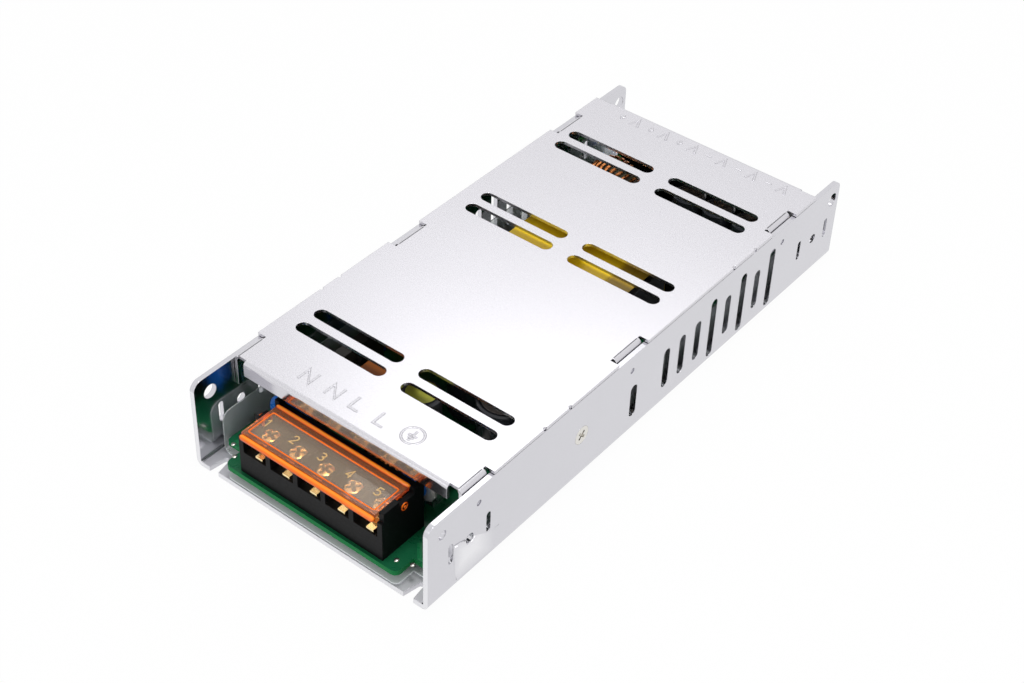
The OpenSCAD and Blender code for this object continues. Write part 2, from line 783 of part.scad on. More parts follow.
module pin(x, y, l) {
    translate([x - 0.4, y - 0.4, 0]) cube([0.8, 0.8, l]);
}

fuse_d = 5.2;
fuse_l = 20;
fuse_z = 4.4;

module fuse() {
    color("linen") on_board(fuse_at) {
        rod_y([0, -fuse_l / 2 + 1, fuse_z], fuse_d - 0.6, fuse_l - 2);
        for (y = [-fuse_l / 2, fuse_l / 2 - 5.2]) rod_y([0, y, fuse_z], fuse_d, 5.2);
    }
}

// Spring clip with two arms that hug a fuse cap
module fuse_clips() {
    arm = 0.5;
    outer = fuse_d + 2 * arm + play;
    color("silver") on_board(fuse_at) for (y = [-fuse_l / 2 + 0.6, fuse_l / 2 - 4.6]) difference() {
        union() {
            rod_y([0, y, fuse_z], outer, 4);
            translate([-2, y, 0]) cube([4, 4, fuse_z]);
        }
        rod_y([0, y - cut, fuse_z], fuse_d + play, 4 + 2 * cut);
        translate([-2 + arm, y - cut, arm]) cube([4 - 2 * arm, 4 + 2 * cut, fuse_z]);
        translate([-outer, y - cut, fuse_z + 1.6]) cube([2 * outer, 4 + 2 * cut, outer]);
    }
}

// Coated disc that stands on two leads, its faces towards the ends of the case
module disc(d, t, lift) {
    translate([0, -t / 2, lift + d / 2]) rotate([-90, 0, 0]) {
        translate([0, 0, 0.6]) cylinder(d = d, h = t - 1.2);
        cylinder(d1 = d - 1.6, d2 = d, h = 0.6);
        translate([0, 0, t - 0.6]) cylinder(d1 = d, d2 = d - 1.6, h = 0.6);
    }
    for (x = [-d / 4, d / 4]) pin(x, 0, lift + d / 4);
}

module thermistor() {
    color("darkgreen") on_board(thermistor_at) disc(thermistor_d, 4.4, 2.4);
}

module varistor() {
    color("royalblue") on_board(varistor_at) disc(varistor_d, 4.2, 1.6);
}

module y_capacitors() {
    color("royalblue") for (p = y_cap_at) on_board(p) disc(y_cap_d, 3.6, 4.2);
}

// Box with round upright edges
module boxed(w, l, h, r) {
    linear_extrude(h) round_rect([-w / 2, -l / 2], [w / 2, l / 2], r);
}

module x_capacitor() {
    color("#b85a1c") on_board(x_cap_at) boxed(x_cap_w, x_cap_l, x_cap_h, 0.6);
}

// Drum choke under a sleeve
module filter_choke() {
    color("olive") on_board(filter_choke_at) {
        cylinder(d = sleeve_d - 2.4, h = x_cap_h);
        translate([0, 0, 1]) cylinder(d = sleeve_d - 0.4, h = x_cap_h - 2);
        for (z = [0.8, x_cap_h - 2.2]) translate([0, 0, z]) cylinder(d = sleeve_d, h = 1.4);
    }
}

// Wire wound round a ring core as a helix; its section is a rounded rectangle
function soft(v) = sign(v) * pow(abs(v), 0.4);
function wound(t, c) = let (turn = 360 * c[0] * t, a = c[5] + c[6] * t, r = c[1] + c[2] * soft(cos(turn)))
    [r * cos(a), r * sin(a), c[3] * soft(sin(turn))];
function heart(t, c) = let (a = c[5] + c[6] * t) [c[1] * cos(a), c[1] * sin(a), 0];
function unit(v) = v / norm(v);

// c holds: turns, ring radius, half width, half height, wire diameter, first angle, swept angle
module winding(c, lead_a, lead_b) {
    steps = 10 * c[0];
    sides = 5;
    coil = [for (i = [0:steps]) wound(i / steps, c)];
    hearts = [for (i = [0:steps]) heart(i / steps, c)];
    path = concat([lead_a], coil, [lead_b]);
    middle = concat([lead_a + hearts[0] - coil[0]], hearts, [lead_b + hearts[steps] - coil[steps]]);
    last = len(path) - 1;
    rings = [for (i = [0:last]) let (
        along = unit(path[min(i + 1, last)] - path[max(i - 1, 0)]),
        across = unit(cross(along, path[i] - middle[i])),
        out = cross(across, along)
    ) for (k = [0:sides - 1]) let (a = 360 * k / sides)
        path[i] + c[4] / 2 * (cos(a) * out + sin(a) * across)];
    skin = [for (i = [0:last - 1]) for (k = [0:sides - 1]) let (a = i * sides, b = (k + 1) % sides)
        each [[a + k, a + sides + k, a + sides + b], [a + k, a + sides + b, a + b]]];
    first_cap = [for (k = [0:sides - 1]) k];
    last_cap = [for (k = [0:sides - 1]) last * sides + sides - 1 - k];
    polyhedron(rings, concat(skin, [first_cap, last_cap]), 4);
}

module ring_core(r, half_w, half_h) {
    rotate_extrude() translate([r, 0]) round_rect([-half_w, -half_h], [half_w, half_h], 0.8);
}

filter_ring = 6.2;
filter_half = 2.2;
filter_half_h = 4;
filter_sweep = 140;
filter_lift = filter_half_h + filter_wire / 2 + 0.2;
core_play = 0.4;

module common_mode_core() {
    less = filter_wire / 2 + core_play;
    color("#3c4a3c") on_board(common_mode_at) translate([0, 0, filter_lift]) {
        ring_core(filter_ring, filter_half - less, filter_half_h - less);
    }
}

module common_mode_winding() {
    lead = filter_ring + filter_half + filter_wire / 2;
    color(copper) on_board(common_mode_at) translate([0, 0, filter_lift])
        for (a = [20, 200]) rotate([0, 0, a]) winding(
            [filter_turns, filter_ring, filter_half, filter_half_h, filter_wire, 0, filter_sweep],
            [lead, 0, play - filter_lift],
            [lead * cos(filter_sweep), lead * sin(filter_sweep), play - filter_lift]);
}

module bridge_rectifier() {
    color(black) on_board(bridge_at) {
        translate([0, 0, 2]) difference() {
            boxed(3.6, bridge_l, 14.6, 0.5);
            rod_x([-3, 0, 10.6], 3.2, 6);
        }
        for (y = [-7.5, -2.5, 2.5, 7.5]) pin(0, y, 3);
    }
}

// Electrolytic can: rubber foot, groove above it and a sleeve that leaves the top bare
module can(d, h) {
    rotate_extrude() polygon([
        [0, 0], [d / 2 - 0.6, 0], [d / 2, 0.6], [d / 2, 1.8], [d / 2 - 0.4, 2.3], [d / 2, 2.8],
        [d / 2, h - 0.5], [d / 2 - 0.5, h], [d / 2 - 1.1, h], [d / 2 - 1.3, h - 0.25], [0, h - 0.25]
    ]);
}

module bulk_capacitors() {
    color("#46413f") for (p = bulk_at) on_board(p) can(bulk_d, bulk_h);
}

module small_capacitors() {
    color("#33383f") for (p = small_cap_at) on_board(p) can(small_can_d, small_can_h);
}

module output_capacitors() {
    color("#33383f") for (i = [-1:1]) on_board(output_at + [i * output_pitch, 0]) can(output_d, output_h);
}

module drive_transformer() {
    color(tape) on_board(drive_at) {
        translate([0, 0, 3]) boxed(drive_w - 3, drive_l - 2, 10, 2);
        boxed(drive_w, drive_l, 3, 0.5);
        for (x = [-1, 1]) translate([x * (drive_w / 2 - 0.8), 0, 3]) boxed(1.6, drive_l - 1, 9, 0.3);
    }
}

// Power transformer: a pair of E cores lying flat round a bobbin whose tube runs along X
core_h = 13;
trafo_z = 9.6;
leg = trafo_l * 0.43;
window_w = trafo_w - 15;
window_l = (trafo_l - leg) / 2 - 3;
flange_t = 1;
tube_t = 1;

module transformer_core() {
    color("#3a3a3c") on_board([0, trafo_s]) translate([0, 0, trafo_z - core_h / 2]) linear_extrude(core_h)
        difference() {
            square([trafo_w, trafo_l], center = true);
            for (y = [-1, 1]) translate([0, y * (leg + window_l) / 2])
                square([window_w, window_l], center = true);
        }
}

module transformer_bobbin() {
    hole = [leg + 2 * play, core_h + 2 * play];
    wide = window_w - 2 * play;
    flange = [leg + 2 * window_l - 0.4, 2 * trafo_z - 1];
    foot_l = (trafo_w - window_w) / 2;
    foot_h = trafo_z - core_h / 2 - 0.4;
    color(black) on_board([0, trafo_s]) {
        difference() {
            union() {
                translate([-wide / 2, -hole[0] / 2 - tube_t, trafo_z - hole[1] / 2 - tube_t])
                    cube([wide, hole[0] + 2 * tube_t, hole[1] + 2 * tube_t]);
                for (x = [-wide / 2, wide / 2 - flange_t])
                    translate([x, -flange[0] / 2, trafo_z - flange[1] / 2])
                        cube([flange_t, flange[0], flange[1]]);
            }
            translate([-trafo_w / 2, -hole[0] / 2, trafo_z - hole[1] / 2]) cube([trafo_w, hole[0], hole[1]]);
        }
        for (x = [-wide / 2 - foot_l + 1, wide / 2 - flange_t])
            translate([x, -trafo_l / 2 + 2, 0]) cube([foot_l - 1 + flange_t, trafo_l - 4, foot_h]);
    }
}

module transformer_winding() {
    wide = window_w - 2 * play - 2 * flange_t - 2 * play;
    low = [leg / 2 + 2 * play + tube_t, core_h / 2 + 2 * play + tube_t];
    high = [leg / 2 + window_l - 0.5, trafo_z - 0.7];
    color(tape) on_board([0, trafo_s]) translate([-wide / 2, 0, trafo_z])
        rotate([90, 0, 90]) linear_extrude(wide)
        difference() {
            round_rect([-high[0], -high[1]], [high[0], high[1]], 1.5);
            square([2 * low[0], 2 * low[1]], center = true);
        }
}

// Yellow tape over winding and core; towards +x only its thin first layer is left
tape_t = 0.3;
tape_from = -trafo_w / 2;
tape_step = 13.6;

module tape_band(x0, x1, t) {
    gap = 0.1;
    side = trafo_l / 2 + gap;
    top = [leg / 2 + window_l + gap, trafo_z + 9.1 + gap];
    low = trafo_z - core_h / 2 - gap;
    shoulder = trafo_z + core_h / 2 + gap;
    outer = [[side - 1.4, low], [side - 1.4, low - t], [side + t, low - t], [side + t, shoulder + t / 2],
        [top[0] + t / 2, top[1] + t]];
    inner = [[top[0], top[1]], [side, shoulder], [side, low]];
    far = [for (q = outer) [-q[0], q[1]]];
    near = [for (q = inner) [-q[0], q[1]]];
    ring = concat(outer, [for (i = [4:-1:0]) far[i]], [for (i = [2:-1:0]) near[i]], inner);
    translate([x0, 0, 0]) rotate([90, 0, 90]) linear_extrude(x1 - x0) polygon(ring);
}

module transformer_tape() {
    color(tape) on_board([0, trafo_s]) {
        tape_band(tape_from, tape_step, tape_t);
        tape_band(tape_step - play, trafo_w / 2, tape_t / 2);
    }
}

// Dual in line housing with bent legs
module dil(l, w, pairs) {
    translate([0, 0, 0.6]) difference() {
        boxed(l, w, 3.4, 0.2);
        translate([-l / 2, 0, 3]) cylinder(d = 1.8, h = cut);
    }
    for (i = [0:pairs - 1])
        for (y = [-w / 2 - 0.3, w / 2 + 0.3])
            translate([(i - (pairs - 1) / 2) * 2.54 - 0.3, y - 0.4, 0]) cube([0.6, 0.8, 2.4]);
}

module control_chip() {
    color(black) on_board(chip_at) dil(19.6, chip_w, 8);
}

module optocouplers() {
    color(black) for (p = opto_at) on_board(p) dil(4.7, 6.4, 2);
}

module power_resistors() {
    color("tan") for (p = resistor_at) on_board(p) {
        rod_x([-4.5, 0, 2.4], 3.6, 9);
        for (x = [-4.5, 2.5]) rod_x([x, 0, 2.4], 4.2, 2);
        rod_x([-7, 0, 2.4], 0.8, 14);
        for (x = [-7, 6.2]) pin(x + 0.4, 0, 2.8);
    }
}

choke_ring = 7.4;
choke_half = 2;
choke_half_l = 4.2;
choke_lift = choke_ring + choke_half + choke_wire / 2 + 0.3;

// Ring choke that stands on the board with its axis along Y
module choke_place() {
    on_board(choke_at) translate([0, 0, choke_lift]) rotate([90, 0, 0]) children();
}

module output_choke_core() {
    less = choke_wire / 2 + core_play;
    color("#d8c46a") choke_place() ring_core(choke_ring, choke_half - less, choke_half_l - less);
}

module output_choke_winding() {
    start = -90 + 8;
    sweep = 360 - 16;
    reach = choke_ring + choke_half;
    low = reach * sin(start) - choke_wire / 2 - 0.3;
    color(copper) choke_place() winding(
        [choke_turns, choke_ring, choke_half, choke_half_l, choke_wire, start, sweep],
        [reach * cos(start), low, 0],
        [reach * cos(start + sweep), low, 0]);
}

trimmer_h = 4.6;
rotor_d = 3.4;

module voltage_trimmer() {
    color("#2f62c4") on_board(trimmer_at) difference() {
        boxed(trimmer_w, trimmer_w, trimmer_h, 0.4);
        translate([0, 0, trimmer_h - 2]) cylinder(d = rotor_d, h = 2 + cut);
    }
}

// Turning disc of the trimmer with a screwdriver slot
module trimmer_rotor() {
    color("white") on_board(trimmer_at) translate([0, 0, trimmer_h - 1.9]) difference() {
        cylinder(d = rotor_d - play, h = 2.3);
        translate([-rotor_d, -0.3, 1.4]) cube([2 * rotor_d, 0.6, cut]);
    }
}

module power_led() {
    color("limegreen") on_board(led_at) {
        pin(-1.27, 0, 3);
        pin(1.27, 0, 3);
        translate([0, 0, 2.4]) cylinder(d = 3.8, h = 1);
        translate([0, 0, 2.4]) cylinder(d = 3, h = 3.6);
        translate([0, 0, 6]) sphere(d = 3);
    }
}

chassis();
top_cover();
insulating_film();
circuit_board();
board_standoffs();
board_screws();
side_screw();
primary_heat_bar();
power_transistors();
secondary_heat_bar();
output_rectifiers();
transistor_screws();
ac_terminal_body();
ac_terminal_plates();
ac_terminal_clamps();
ac_terminal_screws();
ac_terminal_cover();
dc_terminal_body();
dc_terminal_plates();
dc_terminal_clamps();
dc_terminal_screws();
fuse();
fuse_clips();
thermistor();
varistor();
x_capacitor();
y_capacitors();
filter_choke();
common_mode_core();
common_mode_winding();
bridge_rectifier();
bulk_capacitors();
drive_transformer();
transformer_core();
transformer_bobbin();
transformer_winding();
transformer_tape();
control_chip();
optocouplers();
small_capacitors();
power_resistors();
output_choke_core();
output_choke_winding();
output_capacitors();
voltage_trimmer();
trimmer_rotor();
power_led();
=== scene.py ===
import math

import bmesh
import bpy
from mathutils import Matrix, Vector


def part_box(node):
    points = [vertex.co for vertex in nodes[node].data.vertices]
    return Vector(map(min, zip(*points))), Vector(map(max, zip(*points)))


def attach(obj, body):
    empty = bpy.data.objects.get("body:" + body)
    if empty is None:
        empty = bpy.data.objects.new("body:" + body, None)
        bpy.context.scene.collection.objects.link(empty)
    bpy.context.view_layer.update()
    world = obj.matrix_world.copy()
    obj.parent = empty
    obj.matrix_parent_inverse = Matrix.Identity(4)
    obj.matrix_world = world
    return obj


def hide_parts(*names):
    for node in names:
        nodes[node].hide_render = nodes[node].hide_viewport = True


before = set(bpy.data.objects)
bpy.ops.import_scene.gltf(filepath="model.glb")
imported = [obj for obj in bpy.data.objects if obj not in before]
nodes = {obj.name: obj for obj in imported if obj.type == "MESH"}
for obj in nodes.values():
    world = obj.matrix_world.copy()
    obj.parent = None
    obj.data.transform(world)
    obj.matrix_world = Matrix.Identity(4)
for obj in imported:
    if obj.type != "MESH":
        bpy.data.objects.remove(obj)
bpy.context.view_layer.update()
MM = 0.001

# Camera
# The photograph looks down on the AC end from the right front. The place, the turn and the lens
# were solved from the edges of the case, for an image of 1024 by 683 pixels.
IMAGE_W = 1024
IMAGE_H = 683
FOCAL_PX = 1863.6
CENTRE_PX = (520.67, 312.5)
SENSOR_MM = 36
CAMERA_AT = Vector((0.243847, -0.331371, 0.356101))
VIEW_RIGHT = Vector((0.78176, 0.62277, 0.03166))
VIEW_DOWN = Vector((0.41738, -0.48485, -0.76858))
VIEW_AHEAD = Vector((-0.46330, 0.61406, -0.63897))

camera_data = bpy.data.cameras.new("photo_camera")
camera_data.sensor_width = SENSOR_MM
camera_data.lens = FOCAL_PX * SENSOR_MM / IMAGE_W
camera_data.shift_x = (IMAGE_W / 2 - CENTRE_PX[0]) / IMAGE_W
camera_data.shift_y = (CENTRE_PX[1] - IMAGE_H / 2) / IMAGE_W
camera_data.clip_start = 0.01
camera_data.clip_end = 20
camera = bpy.data.objects.new("photo_camera", camera_data)
turn = Matrix((VIEW_RIGHT, -VIEW_DOWN, -VIEW_AHEAD)).transposed()
camera.matrix_world = Matrix.Translation(CAMERA_AT) @ turn.to_4x4()
bpy.context.collection.objects.link(camera)
bpy.context.scene.camera = camera

# Studio
# A white table under a white tent. Two soft lamps stand above the case, one to its right and one
# before it. The table glows for the camera but keeps a trace of the case's shadow.
WHITE = (1, 1, 1, 1)
FLOOR_HALF = 3.0
TENT_LIGHT = 0.62
FLOOR_SHADE = 0.8
FLOOR_GLOW = 0.96
FLOOR_Z = -0.0002


def shown_to(tree, rays):
    """One where the camera, a reflection or a look through glass meets the surface."""
    largest = rays.outputs["Is Camera Ray"]
    for ray in ("Is Glossy Ray", "Is Transmission Ray"):
        step = tree.nodes.new("ShaderNodeMath")
        step.operation = "MAXIMUM"
        tree.links.new(largest, step.inputs[0])
        tree.links.new(rays.outputs[ray], step.inputs[1])
        largest = step.outputs[0]
    return largest


scene = bpy.context.scene
scene.view_settings.view_transform = "Standard"
world = bpy.data.worlds.new("white_tent")
scene.world = world
world.use_nodes = True
tree = world.node_tree
tree.nodes.clear()
rays = tree.nodes.new("ShaderNodeLightPath")
seen = shown_to(tree, rays)
level = tree.nodes.new("ShaderNodeMapRange")
level.inputs["To Min"].default_value = TENT_LIGHT
level.inputs["To Max"].default_value = 1.0
tree.links.new(seen, level.inputs["Value"])
tent = tree.nodes.new("ShaderNodeBackground")
tent.inputs["Color"].default_value = WHITE
tree.links.new(level.outputs["Result"], tent.inputs["Strength"])
tree.links.new(tent.outputs[0], tree.nodes.new("ShaderNodeOutputWorld").inputs["Surface"])


def soft_lamp(name, place, aim, size, power):
    """A square area lamp at place, turned towards aim."""
    data = bpy.data.lights.new(name, "AREA")
    data.size = size
    data.energy = power
    lamp = bpy.data.objects.new(name, data)
    lamp.location = place
    lamp.rotation_mode = "QUATERNION"
    lamp.rotation_quaternion = (Vector(aim) - Vector(place)).to_track_quat("-Z", "Y")
    bpy.context.collection.objects.link(lamp)


soft_lamp("overhead_lamp", (-0.36, 0.52, 0.84), (0, -0.05, 0), 0.35, 0.55)
soft_lamp("top_lamp", (0.03, 0, 0.9), (0, 0, 0), 0.3, 3.6)
soft_lamp("right_lamp", (0.8, -0.1, 0.35), (0, 0, 0.01), 0.5, 0.9)
soft_lamp("front_lamp", (-0.15, -0.8, 0.4), (0, 0, 0.01), 0.2, 1.0)

floor_mesh = bpy.data.meshes.new("table")
floor_mesh.from_pydata(
    [(x * FLOOR_HALF, y * FLOOR_HALF, 0) for x, y in ((-1, -1), (1, -1), (1, 1), (-1, 1))],
    [],
    [(0, 1, 2, 3)],
)
floor = bpy.data.objects.new("table", floor_mesh)
floor.location.z = FLOOR_Z
bpy.context.collection.objects.link(floor)
paint = bpy.data.materials.new("table_paint")
paint.use_nodes = True
tree = paint.node_tree
tree.nodes.clear()
rays = tree.nodes.new("ShaderNodeLightPath")
lit = tree.nodes.new("ShaderNodeBsdfDiffuse")
lit.inputs["Color"].default_value = (FLOOR_SHADE, FLOOR_SHADE, FLOOR_SHADE, 1)
glow = tree.nodes.new("ShaderNodeEmission")
glow.inputs["Color"].default_value = WHITE
share = tree.nodes.new("ShaderNodeMath")
share.operation = "MULTIPLY"
share.inputs[1].default_value = FLOOR_GLOW
tree.links.new(shown_to(tree, rays), share.inputs[0])
both = tree.nodes.new("ShaderNodeMixShader")
tree.links.new(share.outputs[0], both.inputs["Fac"])
tree.links.new(lit.outputs[0], both.inputs[1])
tree.links.new(glow.outputs[0], both.inputs[2])
tree.links.new(both.outputs[0], tree.nodes.new("ShaderNodeOutputMaterial").inputs["Surface"])
floor_mesh.materials.append(paint)

# Chassis
# The real piece is one sheet of bright aluminium, punched and folded into a channel with ears.
# Its faces keep the rolling grain of the sheet, and its front edges are painted near white, a
# painted reflection of the bright space before the case.
GRAIN_SCALE = 2600
SHEET_COLOR = (0.63, 0.625, 0.66)
SHEET_ROUGHNESS = 0.16
EDGE_ROUND = 0.00022
FRONT_EDGE_PAINTED_REFLECTION = (0.95, 0.95, 0.97)
FLOOR_ROUGHNESS = 0.5


def node_group(name, inputs, outputs):
    """A new shader node group, its group input and its group output."""
    group = bpy.data.node_groups.new(name, "ShaderNodeTree")
    for label, kind, value in inputs:
        socket = group.interface.new_socket(label, in_out="INPUT", socket_type=kind)
        socket.default_value = value
    for label, kind in outputs:
        group.interface.new_socket(label, in_out="OUTPUT", socket_type=kind)
    return group, group.nodes.new("NodeGroupInput"), group.nodes.new("NodeGroupOutput")


def make_grain_group():
    """Colour and height that vary in grains, drawn out along Y by Stretch, over slow clouds."""
    group, given, result = node_group(
        "surface_grain",
        [
            ("Color", "NodeSocketColor", (0.8, 0.8, 0.8, 1)),
            ("Scale", "NodeSocketFloat", 1000),
            ("Stretch", "NodeSocketFloat", 1),
            ("Amount", "NodeSocketFloat", 0.05),
            ("Clouds", "NodeSocketFloat", 0.03),
        ],
        [("Color", "NodeSocketColor"), ("Value", "NodeSocketFloat"), ("Height", "NodeSocketFloat")],
    )
    new, link = group.nodes.new, group.links.new
    place = new("ShaderNodeTexCoord")
    squeeze = new("ShaderNodeCombineXYZ")
    inverse = new("ShaderNodeMath")
    inverse.operation = "DIVIDE"
    inverse.inputs[0].default_value = 1
    link(given.outputs["Stretch"], inverse.inputs[1])
    squeeze.inputs["X"].default_value = 1
    squeeze.inputs["Z"].default_value = 1
    link(inverse.outputs[0], squeeze.inputs["Y"])
    scaled = new("ShaderNodeVectorMath")
    scaled.operation = "MULTIPLY"
    link(place.outputs["Object"], scaled.inputs[0])
    link(squeeze.outputs[0], scaled.inputs[1])
    grain = new("ShaderNodeTexNoise")
    grain.inputs["Detail"].default_value = 3
    link(scaled.outputs[0], grain.inputs["Vector"])
    link(given.outputs["Scale"], grain.inputs["Scale"])
    clouds = new("ShaderNodeTexNoise")
    clouds.inputs["Scale"].default_value = 45
    clouds.inputs["Detail"].default_value = 2
    link(place.outputs["Object"], clouds.inputs["Vector"])

    def swing(source, amount):
        """Source, about one half, as a value about zero times the amount."""
        centred = new("ShaderNodeMath")
        centred.operation = "SUBTRACT"
        centred.inputs[1].default_value = 0.5
        link(source, centred.inputs[0])
        sized = new("ShaderNodeMath")
        sized.operation = "MULTIPLY"
        link(centred.outputs[0], sized.inputs[0])
        link(amount, sized.inputs[1])
        return sized.outputs[0]

    total = new("ShaderNodeMath")
    total.operation = "ADD"
    link(swing(grain.outputs["Fac"], given.outputs["Amount"]), total.inputs[0])
    link(swing(clouds.outputs["Fac"], given.outputs["Clouds"]), total.inputs[1])
    tone = new("ShaderNodeMath")
    tone.operation = "ADD"
    tone.inputs[1].default_value = 1
    link(total.outputs[0], tone.inputs[0])
    shade = new("ShaderNodeVectorMath")
    shade.operation = "SCALE"
    link(given.outputs["Color"], shade.inputs[0])
    link(tone.outputs[0], shade.inputs["Scale"])
    link(shade.outputs[0], result.inputs["Color"])
    link(tone.outputs[0], result.inputs["Value"])
    link(grain.outputs["Fac"], result.inputs["Height"])
    return group


def make_box_group():
    """A mask that is one inside a box of the object's own coordinates and fades at its faces."""
    group, given, result = node_group(
        "box_mask",
        [
            ("Low", "NodeSocketVector", (0, 0, 0)),
            ("High", "NodeSocketVector", (1, 1, 1)),
            ("Sharpness", "NodeSocketFloat", 5000),
        ],
        [("Mask", "NodeSocketFloat")],
    )
    new, link = group.nodes.new, group.links.new
    place = new("ShaderNodeTexCoord")
    depths = []
    for first, second in ((place.outputs["Object"], given.outputs["Low"]),
                          (given.outputs["High"], place.outputs["Object"])):
        depth = new("ShaderNodeVectorMath")
        depth.operation = "SUBTRACT"
        link(first, depth.inputs[0])
        link(second, depth.inputs[1])
        depths.append(depth.outputs[0])
    least = new("ShaderNodeVectorMath")
    least.operation = "MINIMUM"
    link(depths[0], least.inputs[0])
    link(depths[1], least.inputs[1])
    steep = new("ShaderNodeVectorMath")
    steep.operation = "SCALE"
    link(least.outputs[0], steep.inputs[0])
    link(given.outputs["Sharpness"], steep.inputs["Scale"])
    parts = new("ShaderNodeSeparateXYZ")
    link(steep.outputs[0], parts.inputs[0])
    flat = new("ShaderNodeMath")
    flat.operation = "MINIMUM"
    link(parts.outputs["X"], flat.inputs[0])
    link(parts.outputs["Y"], flat.inputs[1])
    mask = new("ShaderNodeMath")
    mask.operation = "MINIMUM"
    mask.use_clamp = True
    link(flat.outputs[0], mask.inputs[0])
    link(parts.outputs["Z"], mask.inputs[1])
    link(mask.outputs[0], result.inputs["Mask"])
    return group


grain_group = make_grain_group()
box_group = make_box_group()


class Finish:
    """A Principled material whose colour, roughness and relief come from the grain group."""

    def __init__(self, name, color, roughness, metallic=0, scale=1500, stretch=1, amount=0.06,
                 clouds=0.05, relief=0.1, depth=0.00002, rough_swing=0.12, round_edges=0.0):
        self.material = bpy.data.materials.new(name)
        self.material.use_nodes = True
        self.tree = self.material.node_tree
        self.shader = self.tree.nodes["Principled BSDF"]
        self.grain = self.node("ShaderNodeGroup")
        self.grain.node_tree = grain_group
        self.grain.inputs["Color"].default_value = (*color, 1)
        self.grain.inputs["Scale"].default_value = scale
        self.grain.inputs["Stretch"].default_value = stretch
        self.grain.inputs["Amount"].default_value = amount
        self.grain.inputs["Clouds"].default_value = clouds
        self.shader.inputs["Metallic"].default_value = metallic
        self.link(self.grain.outputs["Color"], self.shader.inputs["Base Color"])
        polish = self.node("ShaderNodeMapRange")
        polish.inputs["From Min"].default_value = 0.3
        polish.inputs["From Max"].default_value = 0.7
        polish.inputs["To Min"].default_value = roughness * (1 - rough_swing)
        polish.inputs["To Max"].default_value = roughness * (1 + rough_swing)
        self.link(self.grain.outputs["Height"], polish.inputs["Value"])
        self.link(polish.outputs["Result"], self.shader.inputs["Roughness"])
        bump = self.node("ShaderNodeBump")
        bump.inputs["Strength"].default_value = relief
        bump.inputs["Distance"].default_value = depth
        self.link(self.grain.outputs["Height"], bump.inputs["Height"])
        self.link(bump.outputs["Normal"], self.shader.inputs["Normal"])
        if round_edges:
            edge = self.node("ShaderNodeBevel")
            edge.samples = 4
            edge.inputs["Radius"].default_value = round_edges
            self.link(edge.outputs["Normal"], bump.inputs["Normal"])

    def node(self, kind):
        return self.tree.nodes.new(kind)

    def link(self, source, target):
        self.tree.links.new(source, target)

    def set(self, **values):
        """Sets plain values on the shader: words joined by underscores name the socket."""
        for key, value in values.items():
            self.shader.inputs[key.replace("_", " ")].default_value = value

    def box(self, low, high, edge=0.2):
        """A mask over a box in millimetres; it fades over the given edge."""
        mask = self.node("ShaderNodeGroup")
        mask.node_tree = box_group
        mask.inputs["Low"].default_value = [v * MM for v in low]
        mask.inputs["High"].default_value = [v * MM for v in high]
        mask.inputs["Sharpness"].default_value = 1 / (edge * MM)
        return mask.outputs["Mask"]

    def paint(self, mask, color):
        """Lays a colour over the colour so far where the mask is one."""
        mix = self.node("ShaderNodeMix")
        mix.data_type = "RGBA"
        target = self.grain.inputs["Color"]
        mix.inputs[6].default_value = target.default_value
        if target.is_linked:
            self.link(target.links[0].from_socket, mix.inputs[6])
        mix.inputs[7].default_value = (*color, 1)
        self.link(mask, mix.inputs[0])
        self.link(mix.outputs[2], target)

    def polish(self, mask, roughness):
        """Gives another roughness where the mask is one."""
        mix = self.node("ShaderNodeMix")
        self.link(self.shader.inputs["Roughness"].links[0].from_socket, mix.inputs[2])
        mix.inputs[3].default_value = roughness
        self.link(mask, mix.inputs[0])
        self.link(mix.outputs[0], self.shader.inputs["Roughness"])

    def dress(self, *names):
        """Gives the material to carried-over nodes of the frame."""
        for name in names:
            mesh = nodes[name].data
            mesh.materials.clear()
            mesh.materials.append(self.material)

    def dress_faces(self, name, test):
        """Gives it to the faces of a dressed node whose centre and normal pass the test."""
        mesh = nodes[name].data
        mesh.materials.append(self.material)
        for face in mesh.polygons:
            if test(face.center, face.normal):
                face.material_index = len(mesh.materials) - 1


sheet = Finish("folded_sheet", SHEET_COLOR, SHEET_ROUGHNESS, metallic=1, scale=GRAIN_SCALE,
               stretch=5, amount=0.05, relief=0.12, round_edges=EDGE_ROUND)
sheet.polish(sheet.box((-39, -100, -1), (39, 100, 1.7)), FLOOR_ROUGHNESS)
# The front edges are painted near white: a painted reflection.
sheet.paint(sheet.box((-60, -100, -1), (60, -95.95, 40), 0.1), FRONT_EDGE_PAINTED_REFLECTION)
sheet.dress("chassis")

# Pressed relief of the right wall
# A tool pressed the sheet outward below the side hole near the AC end. The relief stands up along
# a slanting line that runs round the hole, and fades into the wall towards the base.
CASE_HALF = 96
WALL_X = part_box("chassis")[1][0]
RELIEF_RISE = 0.34 * MM
RELIEF_ROWS = 8
RELIEF_LOW_Z = 2.4
RELIEF_LIP = 0.12
FOOT_START = 11.2
FOOT_SPAN = 17.5
FADE_DOWN = 0.8
FADE_ALONG = 0.6
HOLE_AT = (16.2, 13.7)
HOLE_CLEAR = 1.8
PRESSED_PAINTED_HIGHLIGHT = (0.80, 0.795, 0.82)
relief_top = [(10.1, 15.5), (12.2, 15.0), (14.4, 14.4)]
for degrees in (190, 215, 240, 265, 290, 315, 340):
    turned = math.radians(degrees)
    relief_top.append((HOLE_AT[0] + HOLE_CLEAR * math.cos(turned),
                       HOLE_AT[1] + HOLE_CLEAR * math.sin(turned)))
relief_top += [(19.2, 12.4), (21.0, 11.2), (22.6, 10.2), (24.2, 9.6), (26.0, 9.4), (28.0, 9.3)]


def station(along):
    """The Y of a place that many millimetres from the AC end of the case."""
    return (along - CASE_HALF) * MM


def finish_mesh(mesh, name, smooth=False):
    """Turns a bmesh into mesh data with outward normals."""
    bmesh.ops.recalc_face_normals(mesh, faces=mesh.faces)
    data = bpy.data.meshes.new(name)
    mesh.to_mesh(data)
    mesh.free()
    if smooth:
        data.shade_smooth()
    return data


